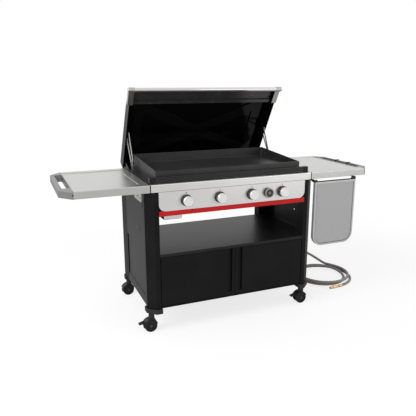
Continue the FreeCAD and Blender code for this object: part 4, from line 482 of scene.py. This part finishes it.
def knob_finish(name):
    """Control knob: satin metal cap in front of dark grooves, a ribbed grey band and a dark skirt."""
    made, tree, shader, place = start_finish(name, (0.8, 0.79, 0.78), metallic=0.5, roughness=0.30)
    depth = axes(tree, place)["Y"]
    cap = maths(tree, "LESS_THAN", depth, spot(0, -KNOB_CAP_START, 0).y)
    band = ramped(tree, depth, [spot(0, -edge, 0).y for edge in reversed(KNOB_BAND)])
    inside = maths(tree, "PINGPONG", band, 0.5)
    ribs = maths(tree, "GREATER_THAN", inside, 0.02)
    brushed = noise(tree, stretched(tree, place, (700.0, 60.0, 700.0)))
    steel = mixed(tree, ramped(tree, brushed, MIDDLE), (0.86, 0.85, 0.84), (0.95, 0.94, 0.93))
    dark = mixed(tree, ribs, grey(0.008), (0.075, 0.075, 0.076))
    painted(tree, shader, cap, dark, steel)
    varied(tree, shader, "Metallic", cap, (0.0, 1.0), (0.15, 0.55))
    bumped(tree, shader, brushed, strength=0.05, distance=0.0003)
    return made


def display_finish(name):
    """Temperature display: black housing with a pale satin ring round its front."""
    made, tree, shader, place = start_finish(
        name, grey(0.01), metallic=0.3, roughness=0.3, specular=0.4)
    split = axes(tree, place)
    centre = spot(DISPLAY_PLACE[0], 0.0, DISPLAY_PLACE[1])
    flat = add(tree, "ShaderNodeCombineXYZ", X=split["X"], Z=split["Z"]).outputs["Vector"]
    reach = measured(tree, "DISTANCE", flat, (centre.x, 0.0, centre.z))
    outer = maths(tree, "GREATER_THAN", reach, (DISPLAY_GLASS - DISPLAY_RING_EDGE) * MM)
    front = maths(tree, "LESS_THAN", split["Y"], spot(0, DISPLAY_SEAM, 0).y)
    ring = maths(tree, "MULTIPLY", outer, front)
    fine = noise(tree, place, scale=900.0)
    satin = mixed(tree, fine, grey(0.30), grey(0.38))
    painted(tree, shader, ring, grey(0.008), satin)
    bumped(tree, shader, fine, strength=0.05, distance=0.0002)
    return made


def satin_casting(name, color, roughness=0.40):
    """Silver painted casting: fine metallic flake under an even satin coat."""
    made, tree, shader, place = start_finish(
        name, color, metallic=0.6, roughness=roughness, specular=0.4)
    flake = noise(tree, place, scale=1600.0)
    cloud = noise(tree, place, scale=8.0, detail=3.0)
    painted(tree, shader, ramped(tree, cloud, MIDDLE), toned(color, 0.90), color)
    varied(tree, shader, "Roughness", flake, WIDE, (roughness - 0.05, roughness + 0.05))
    bumped(tree, shader, flake, strength=0.08, distance=0.0002)
    return made


def rubber(name, color, roughness):
    """Rubber with a matt grain."""
    made, tree, shader, place = start_finish(name, color, roughness=roughness, specular=0.3)
    grain = noise(tree, place, scale=700.0, detail=3.0)
    cloud = noise(tree, place, scale=18.0, detail=4.0)
    painted(tree, shader, ramped(tree, cloud, MIDDLE), toned(color, 0.82), color)
    bumped(tree, shader, grain, strength=0.20, distance=0.0003)
    return made


STAINLESS = brushed_metal("stainless_sheet", (0.61, 0.61, 0.602), 0.34, along="X", hatch=0.6)
# painted light: the trim rail is the tables' brushed steel with a lighter base colour
STAINLESS_RAIL_LIT = brushed_metal("stainless_rail_lit", (0.81, 0.805, 0.795), 0.34, along="X", hatch=0.6)
STAINLESS_HANDLE = brushed_metal("stainless_handle", (0.68, 0.67, 0.66), 0.12, along="X", streak=0.03)
STAINLESS_ARMS = brushed_metal("stainless_arms", (0.62, 0.62, 0.61), 0.30, along="Z")
# painted shade: the handle brackets are the same stainless with a darker base colour
STAINLESS_BRACKET_SHADED = brushed_metal("stainless_bracket_shaded", (0.50, 0.49, 0.48), 0.30, along="Z")
STAINLESS_LEAF = satin_casting("leaf_silver", grey(0.58))
# painted light: the control panel is brushed steel with a lighter base colour than the tables
PANEL_SILVER_LIT = brushed_metal("panel_silver", (0.76, 0.755, 0.745), 0.36, along="X", streak=0.03)
CAP_SILVER = satin_casting("cap_silver", grey(0.27))
FRAME_BLACK = powder_coat("frame_black", (0.0045, 0.0045, 0.0047), 0.40, specular=0.13)
COLUMN_BLACK = powder_coat("column_black", (0.0030, 0.0030, 0.0031), 0.42, specular=0.05)
DOOR_BLACK = powder_coat("door_black", (0.0050, 0.0050, 0.0052), 0.36, specular=0.13)
SIDE_BLACK = powder_coat("side_black", (0.0090, 0.0090, 0.0093), 0.42, specular=0.20)
SHELF_BLACK = powder_coat("shelf_black", (0.0095, 0.0095, 0.0098), 0.36, specular=0.23)
LID_BLACK = black_enamel("lid_black", (0.0030, 0.0030, 0.0031), 0.26, specular=0.14)
# the liner's two blacks are painted shade and light, darker for its deeper panels and lighter for its
# pressed cross
LINER_BLACK = liner_enamel_with_painted_shade("liner_black", grey(0.0017), grey(0.0042), 0.11, specular=0.18)
CHANNEL_BLACK = black_enamel("channel_black", (0.0260, 0.0260, 0.0263), 0.26, specular=0.80,
                             wave_height=0.004)
COOKBOX_BLACK = black_enamel("cookbox_black", grey(0.010), 0.30, specular=0.36)
RAIL_BLACK = powder_coat("rail_black", grey(0.008), 0.35, specular=0.2)
GRIDDLE_STEEL = seasoned_steel("griddle_steel")
RED_PAINT = gloss_paint("red_paint", (0.64, 0.010, 0.010))
KNOB_METAL = knob_finish("knob_metal")
DISPLAY_FINISH = display_finish("display_black")
ZINC = plain_metal("zinc_plate", grey(0.35), 0.34)
SCREW_STEEL = plain_metal("screw_steel", grey(0.42), 0.30)
SCREW_DARK = plain_metal("screw_dark", grey(0.07), 0.35)
BRASS = plain_metal("brass_fitting", (0.80, 0.52, 0.22), 0.26)
BURNER_STEEL = plain_metal("burner_steel", grey(0.45), 0.40)
FOIL = plain_metal("foil_pan", grey(0.72), 0.30)
BLACK_PLASTIC = moulded_plastic("black_plastic", grey(0.010))
BOARD_GREY = speckled_board("board_grey", grey(0.47), 0.55)
WHEEL_BLACK = rubber("wheel_black", grey(0.010), 0.5)
HOSE_GREY = rubber("hose_grey", (0.36, 0.35, 0.33), 0.45)
CAP_GREY = moulded_plastic("wheel_cap_grey", grey(0.040), 0.45)
# dark grey of the strip of painted shadow under the trim rail
SHADOW_STRIP_GREY = moulded_plastic("shadow_strip_grey", grey(0.13), 0.6)
MARK_RED = moulded_plastic("mark_red", (0.55, 0.03, 0.03))
SCREEN_BLACK = black_enamel("screen_black", grey(0.004), 0.10, specular=0.4, wave_height=0.0)
SCREEN_GREY = moulded_plastic("screen_grey", grey(0.16))

FINISHES = {
    "table_left": STAINLESS,
    "table_right": STAINLESS,
    "end_caps": CAP_SILVER,
    "hook_clips": BLACK_PLASTIC,
    "table_brackets": STAINLESS,
    "front_rail": STAINLESS_RAIL_LIT,
    "front_columns": FRAME_BLACK,
    "rear_columns": COLUMN_BLACK,
    "foot_caps": BLACK_PLASTIC,
    "side_panels": SIDE_BLACK,
    "mid_shelf": SHELF_BLACK,
    "cabinet_floor": FRAME_BLACK,
    "cabinet_back": FRAME_BLACK,
    "door_left": DOOR_BLACK,
    "door_right": DOOR_BLACK,
    "cookbox_shell": COOKBOX_BLACK,
    "cookbox_front_panel": COOKBOX_BLACK,
    "side_rails": RAIL_BLACK,
    "griddle_plate": GRIDDLE_STEEL,
    "burners": BURNER_STEEL,
    "gas_line": BURNER_STEEL,
    "gas_valves": BRASS,
    "control_panel": PANEL_SILVER_LIT,
    "knob_bezels": BLACK_PLASTIC,
    "knob_1": KNOB_METAL,
    "knob_2": KNOB_METAL,
    "knob_3": KNOB_METAL,
    "knob_4": KNOB_METAL,
    "display": DISPLAY_FINISH,
    "red_rail": RED_PAINT,
    "tray_front": RED_PAINT,
    "tray_holder": FRAME_BLACK,
    "catch_pan": FOIL,
    "arm_brackets": ZINC,
    "front_arms": STAINLESS_ARMS,
    "rear_arms": STAINLESS_ARMS,
    "lid_tabs": FRAME_BLACK,
    "lid_shell": LID_BLACK,
    "lid_liner": LINER_BLACK,
    "lid_front_channel": CHANNEL_BLACK,
    "lid_handle": STAINLESS_HANDLE,
    "lid_handle_brackets": STAINLESS_BRACKET_SHADED,
    "leaf_frame": STAINLESS_LEAF,
    "leaf_board": BOARD_GREY,
    "leaf_hinge_bar": BLACK_PLASTIC,
    "leaf_brackets": BLACK_PLASTIC,
    "hose_stretch": HOSE_GREY,
    "hose_coil": HOSE_GREY,
    "hose_fitting": BRASS,
}


def finish_nodes():
    """Give every CAD node its finish: the casters by the ends of their names, the rest by name."""
    for name, piece in nodes.items():
        if name.startswith("caster_"):
            made = WHEEL_BLACK if name.endswith("wheels") else BLACK_PLASTIC
        else:
            made = FINISHES[name]
        piece.data.materials.clear()
        piece.data.materials.append(made)


finish_nodes()


# Gas hose

def coil_place(turns):
    """Point on the coil's centre line: it winds inwards on top, comes down and winds out on the floor."""
    low = HOSE_DIAMETER / 2 + COIL_LIFT
    inwards = turns / COIL_TURNS_IN
    outwards = (turns - COIL_TURNS_IN) / (COIL_TURNS - COIL_TURNS_IN)
    if inwards < 1:
        radius = COIL_START_RADIUS + (COIL_INNER_RADIUS - COIL_START_RADIUS) * inwards
    else:
        radius = COIL_INNER_RADIUS + (COIL_END_RADIUS - COIL_INNER_RADIUS) * outwards
    drop = min(1.0, max(0.0, (turns - COIL_TURNS_IN) / COIL_DROP_TURNS + 0.5))
    height = low + COIL_LAYER * (1 - drop * drop * (3 - 2 * drop))
    angle = math.radians(COIL_START_ANGLE - 360 * turns)
    x = COIL_CENTRE[0] + radius * math.cos(angle)
    y = COIL_CENTRE[1] + radius * math.sin(angle)
    return Vector((x, y, height))


def coil_heading(turns):
    """Level direction in which the coil runs at a point."""
    heading = coil_place(turns + COIL_HEADING_STEP) - coil_place(turns - COIL_HEADING_STEP)
    heading.z = 0
    return heading.normalized()


def in_frame(place):
    """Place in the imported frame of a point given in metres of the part's own coordinates."""
    return place - Vector((*FRAME_ORIGIN, 0.0))


def hose_corners():
    """Control points of the whole hose, from the inlet to the brass fitting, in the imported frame."""
    start_heading = coil_heading(0)
    tube_start = coil_place(0) - start_heading * HOSE_DIAMETER
    corners = [Vector(corner) for corner in HOSE_ROUTE]
    corners += [tube_start - start_heading * HOSE_LANDING, tube_start]
    count = round(COIL_TURNS * COIL_POINTS_PER_TURN)
    corners += [coil_place(COIL_TURNS * n / count) for n in range(count + 1)]
    corners.append(corners[-1] + coil_heading(COIL_TURNS) * HOSE_DIAMETER)
    return [in_frame(corner) for corner in corners]


def make_hose():
    """Whole hose as one smooth cord in place of its CAD solids."""
    corners = hose_corners()
    line = bpy.data.curves.new("gas_hose", "CURVE")
    line.dimensions = "3D"
    line.bevel_depth = HOSE_DIAMETER / 2
    line.bevel_resolution = 8
    line.use_fill_caps = True
    spline = line.splines.new("NURBS")
    spline.points.add(len(corners) - 1)
    for point, corner in zip(spline.points, corners):
        point.co = (*corner, 1.0)
    spline.order_u = 3
    spline.use_endpoint_u = True
    spline.resolution_u = 6
    hose = bpy.data.objects.new("gas_hose", line)
    bpy.context.scene.collection.objects.link(hose)
    line.materials.append(HOSE_GREY)
    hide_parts("hose_stretch", "hose_coil")
    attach(hose, "station")


make_hose()


# Screws, caps and marks, modelled by hand and copied

def empty_hands():
    """Nothing selected, so that the next operator acts on the new piece alone."""
    bpy.ops.object.select_all(action="DESELECT")


def choose(mode, test):
    """Select the points (VERT) or faces (FACE) of the piece in hand that pass a test."""
    bpy.ops.mesh.select_mode(type=mode)
    bpy.ops.mesh.select_all(action="DESELECT")
    form = bmesh.from_edit_mesh(bpy.context.object.data)
    for element in form.verts if mode == "VERT" else form.faces:
        element.select_set(test(element))
    bmesh.update_edit_mesh(bpy.context.object.data)


def raise_by(height):
    """Extrude what is selected along Z, in millimetres."""
    bpy.ops.mesh.extrude_region_move(TRANSFORM_OT_translate={"value": (0, 0, height * MM)})


def draw_in(share):
    """Scale what is selected across the Z axis."""
    bpy.ops.transform.resize(value=(share, share, 1))


def turned(outline, sides=24):
    """Round piece, drawn up along +Z from a disc through (radius, height) steps in millimetres."""
    empty_hands()
    radius, height = outline[0]
    place = (0, 0, height * MM)
    bpy.ops.mesh.primitive_circle_add(vertices=sides, radius=radius * MM, fill_type="NGON", location=place)
    bpy.ops.object.transform_apply(location=True, rotation=True, scale=True)
    bpy.ops.object.mode_set(mode="EDIT")
    bpy.ops.mesh.select_all(action="SELECT")
    for next_radius, next_height in outline[1:]:
        raise_by(next_height - height)
        draw_in(next_radius / radius)
        radius, height = next_radius, next_height


def close_piece(angle=35):
    """Leave edit mode with the faces outwards and the small angles shaded smooth."""
    bpy.ops.mesh.select_all(action="SELECT")
    bpy.ops.mesh.normals_make_consistent(inside=False)
    bpy.ops.object.mode_set(mode="OBJECT")
    bpy.ops.object.shade_smooth_by_angle(angle=math.radians(angle))
    return bpy.context.object


def screw_pattern(radius, height, socket):
    """Button head with a hexagonal socket, standing on the origin along +Z."""
    turned([(radius * out, height * up) for out, up in HEAD_OUTLINE] + [(socket, height)])
    top = Vector((0, 0, height * MM))

    def on_socket(point, angle):
        off = point.co - top
        turn = math.degrees(math.atan2(off.y, off.x)) % SOCKET_CORNER_ANGLE
        at_edge = abs(off.z) < SAME_PLACE and off.length < socket * MARGIN * MM
        return at_edge and abs(turn - angle) < SAME_ANGLE

    for angle, share in SOCKET_FLATS:
        choose("VERT", lambda point: on_socket(point, angle))
        draw_in(share)
    choose("FACE", lambda face: (face.calc_center_median() - top).length < SAME_PLACE)
    raise_by(-height * SOCKET_DEPTH)
    return close_piece()


def settle(piece, name, body, finish):
    """Name the piece, give it its finish and let it ride on its body."""
    piece.name = name
    piece.data.name = name
    piece.data.materials.clear()
    piece.data.materials.append(finish)
    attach(piece, body)


def set_out(pattern, places, finish):
    """Copies of a pattern, each with its own mesh, at (name, body, place, outward direction)."""
    for name, body, place, outwards in places:
        piece = bpy.data.objects.new(name, pattern.data.copy())
        bpy.context.scene.collection.objects.link(piece)
        turn = Vector(outwards).to_track_quat("Z", "Y").to_matrix().to_4x4()
        piece.data.transform(Matrix.Translation(place) @ turn)
        settle(piece, name, body, finish)
    bpy.data.objects.remove(pattern)


def make_screws():
    """Screws of the end caps, of the table brackets and of the cabinet's back."""
    on_caps = []
    on_brackets = []
    for side, side_name in SIDES:
        for end, y, outwards in CAP_SCREW_ENDS:
            at = spot(side * CAP_SCREW_X, y, CAP_SCREW_Z)
            on_caps.append((f"cap_screw_{side_name}_{end}", "station", at, outwards))
        for n, y in enumerate(BRACKET_SCREW_Y, start=1):
            at = spot(side * BRACKET_FACE, y, BRACKET_SCREW_Z)
            on_brackets.append((f"bracket_screw_{side_name}_{n}", "station", at, (side, 0, 0)))
    on_back = []
    for n, (x, z) in enumerate(BACK_SCREW_PLACES, start=1):
        on_back.append((f"back_screw_{n}", "station", spot(x, BACK_FACE, z), BACKWARDS))
    set_out(screw_pattern(*CAP_SCREW_HEAD), on_caps, SCREW_DARK)
    set_out(screw_pattern(*BRACKET_SCREW_HEAD), on_brackets, SCREW_STEEL)
    set_out(screw_pattern(*BACK_SCREW_HEAD), on_back, FRAME_BLACK)


def make_wheel_caps():
    """Domed caps over the axle ends of the eight wheels."""
    places = []
    for _, side_name in SIDES:
        for row in ("front", "rear"):
            low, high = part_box(f"caster_{row}_{side_name}_wheels")
            middle = (low + high) / 2
            for end, y, outwards in (("a", low.y, FORWARDS), ("b", high.y, BACKWARDS)):
                at = Vector((middle.x, y, middle.z))
                name = f"wheel_cap_{row}_{side_name}_{end}"
                places.append((name, f"wheels_{row}_{side_name}", at, outwards))
    turned(WHEEL_CAP_OUTLINE)
    set_out(close_piece(angle=60), places, CAP_GREY)


def bar_piece(size, at, rounding):
    """Small bar with rounded edges: size and middle in millimetres of the part."""
    empty_hands()
    scale = [length * MM for length in size]
    bpy.ops.mesh.primitive_cube_add(size=1.0, location=spot(*at), scale=scale)
    bpy.ops.object.transform_apply(location=True, rotation=True, scale=True)
    bpy.ops.object.mode_set(mode="EDIT")
    bpy.ops.mesh.select_all(action="SELECT")
    bpy.ops.mesh.bevel(offset=rounding * MM, segments=BAR_SEGMENTS, affect="EDGES")
    return close_piece(angle=40)


def make_marks():
    """Red marks above the knobs and the lamp beside the display."""
    for n in range(KNOB_COUNT):
        x = (n - (KNOB_COUNT - 1) / 2) * KNOB_SPACING
        piece = bar_piece(MARK_SIZE, (x, MARK_DEPTH, KNOB_HEIGHT + MARK_RISE), MARK_ROUNDING)
        settle(piece, f"knob_mark_{n + 1}", "station", MARK_RED)
    x, z = (place + shift for place, shift in zip(DISPLAY_PLACE, LAMP_MARK_SHIFT))
    piece = bar_piece(LAMP_MARK_SIZE, (x, MARK_DEPTH, z), MARK_ROUNDING)
    settle(piece, "display_lamp", "station", MARK_RED)


def make_rail_shadow_strip():
    """Dark grey strip of painted shadow in the joint between the trim rail and the control panel."""
    piece = bar_piece(RAIL_SHADOW_STRIP_SIZE, RAIL_SHADOW_STRIP_PLACE, RAIL_SHADOW_STRIP_ROUNDING)
    settle(piece, "rail_shadow_strip", "station", SHADOW_STRIP_GREY)


def make_display():
    """Domed lens of the temperature display, with a plain grey dial and a grey ring in front of it."""

    def set_on_face(pattern, name, lift, finish):
        at = spot(DISPLAY_PLACE[0], DISPLAY_FACE - lift, DISPLAY_PLACE[1])
        set_out(pattern, [(name, "station", at, FORWARDS)], finish)

    turned(LENS_OUTLINE, sides=48)
    set_on_face(close_piece(angle=60), "display_lens", 0.0, SCREEN_BLACK)
    turned(DIAL_OUTLINE, sides=40)
    set_on_face(close_piece(angle=60), "display_dial", DIAL_LIFT, SCREEN_GREY)
    empty_hands()
    bpy.ops.mesh.primitive_torus_add(
        major_radius=DISPLAY_RING_RADIUS * MM,
        minor_radius=DISPLAY_RING_WIRE * MM,
        major_segments=64,
        minor_segments=8,
    )
    bpy.ops.object.shade_smooth()
    set_on_face(bpy.context.object, "display_inner_ring", DISPLAY_RING_LIFT, SCREEN_GREY)


def sleeve_outline():
    """Steps of the ribbed sleeve: its collar, then ribs that get smaller away from the gas pipe."""
    steps = list(SLEEVE_COLLAR)
    for n in range(SLEEVE_RIBS):
        radius = SLEEVE_RIB_RADIUS - n * SLEEVE_RIB_TAPER
        start = SLEEVE_RIB_START + n * SLEEVE_RIB_PITCH
        steps += [(radius + change, start + along) for change, along in SLEEVE_RIB_STEPS]
    return steps + [SLEEVE_END]


def make_hose_ends():
    """Ribbed sleeve where the hose leaves the gas pipe, and the crimped ferrule at its brass fitting."""
    turned(sleeve_outline(), sides=32)
    top = in_frame(Vector(HOSE_ROUTE[0]))
    sleeve = [("hose_sleeve", "station", top, DOWNWARDS)]
    set_out(close_piece(angle=30), sleeve, BLACK_PLASTIC)
    heading = coil_heading(COIL_TURNS)
    start = in_frame(coil_place(COIL_TURNS)) - heading * (FERRULE_OVERLAP * MM)
    turned(FERRULE_OUTLINE, sides=32)
    ferrule = [("hose_ferrule", "station", start, heading)]
    set_out(close_piece(angle=30), ferrule, BRASS)


make_screws()
make_wheel_caps()
make_marks()
make_rail_shadow_strip()
make_display()
make_hose_ends()


# Floor, light and camera

def make_floor():
    """Pale matt floor that keeps the shadow and fades to the white background away from the station."""
    empty_hands()
    bpy.ops.mesh.primitive_plane_add(size=FLOOR_SIZE, location=(0, 0, 0))
    floor = bpy.context.object
    floor.name = "studio_floor"
    made = bpy.data.materials.new("studio_floor")
    made.use_nodes = True
    tree = made.node_tree
    tree.nodes.clear()
    place = add(tree, "ShaderNodeTexCoord").outputs["Object"]
    away = measured(tree, "LENGTH", place)
    share = ramped(tree, away, FLOOR_FADE, (FLOOR_GLOW_SHARE, 1.0))
    strength = ramped(tree, away, FLOOR_FADE, (FLOOR_GLOW, 1.0))
    matt = add(tree, "ShaderNodeBsdfDiffuse", Color=grey(FLOOR_TONE))
    glow = add(tree, "ShaderNodeEmission", Color=grey(1.0), Strength=strength)
    path = add(tree, "ShaderNodeLightPath")
    seen = maths(tree, "MULTIPLY", path.outputs["Is Camera Ray"], share)
    mix = add(tree, "ShaderNodeMixShader", seen, matt.outputs[0], glow.outputs[0])
    add(tree, "ShaderNodeOutputMaterial", Surface=mix.outputs[0])
    floor.data.materials.append(made)


def make_world():
    """World that is white to the camera and in reflections, and softer as light on the object."""
    world = bpy.data.worlds.new("studio")
    bpy.context.scene.world = world
    world.use_nodes = True
    tree = world.node_tree
    tree.nodes.clear()
    path = add(tree, "ShaderNodeLightPath")
    white = add(tree, "ShaderNodeBackground", Color=grey(1.0), Strength=1.0)
    soft = add(tree, "ShaderNodeBackground", Color=grey(1.0), Strength=WORLD_LIGHT)
    seen = path.outputs["Is Camera Ray"]
    for kind in ("Is Glossy Ray", "Is Transmission Ray"):
        seen = maths(tree, "MAXIMUM", seen, path.outputs[kind])
    mix = add(tree, "ShaderNodeMixShader", seen, soft.outputs[0], white.outputs[0])
    add(tree, "ShaderNodeOutputWorld", Surface=mix.outputs[0])


def make_lamp(name, place, target, size, power):
    """Soft rectangular lamp that shines from a place to a target."""
    data = bpy.data.lights.new(name, "AREA")
    data.shape = "RECTANGLE"
    data.size, data.size_y = size
    data.energy = power
    lamp = bpy.data.objects.new(name, data)
    lamp.location = place
    lamp.rotation_euler = (Vector(target) - Vector(place)).to_track_quat("-Z", "Y").to_euler()
    bpy.context.scene.collection.objects.link(lamp)


def make_camera():
    """Camera of the photograph, whose middle lies a little off the frame's."""
    data = bpy.data.cameras.new("photo_camera")
    data.sensor_width = SENSOR_MM
    data.lens = SENSOR_MM * FOCAL_PIXELS / PHOTO_WIDTH
    data.shift_x = (PHOTO_WIDTH / 2 - CENTRE_PIXEL[0]) / PHOTO_WIDTH
    data.shift_y = (CENTRE_PIXEL[1] - PHOTO_WIDTH / 2) / PHOTO_WIDTH
    camera = bpy.data.objects.new("photo_camera", data)
    camera.location = CAMERA_PLACE
    camera.rotation_euler = (math.radians(90 - CAMERA_PITCH), 0, math.radians(-CAMERA_YAW))
    bpy.context.scene.collection.objects.link(camera)
    bpy.context.scene.camera = camera


make_floor()
make_world()
for lamp in LAMPS:
    make_lamp(*lamp)
make_camera()
bpy.context.scene.view_settings.view_transform = "Standard"
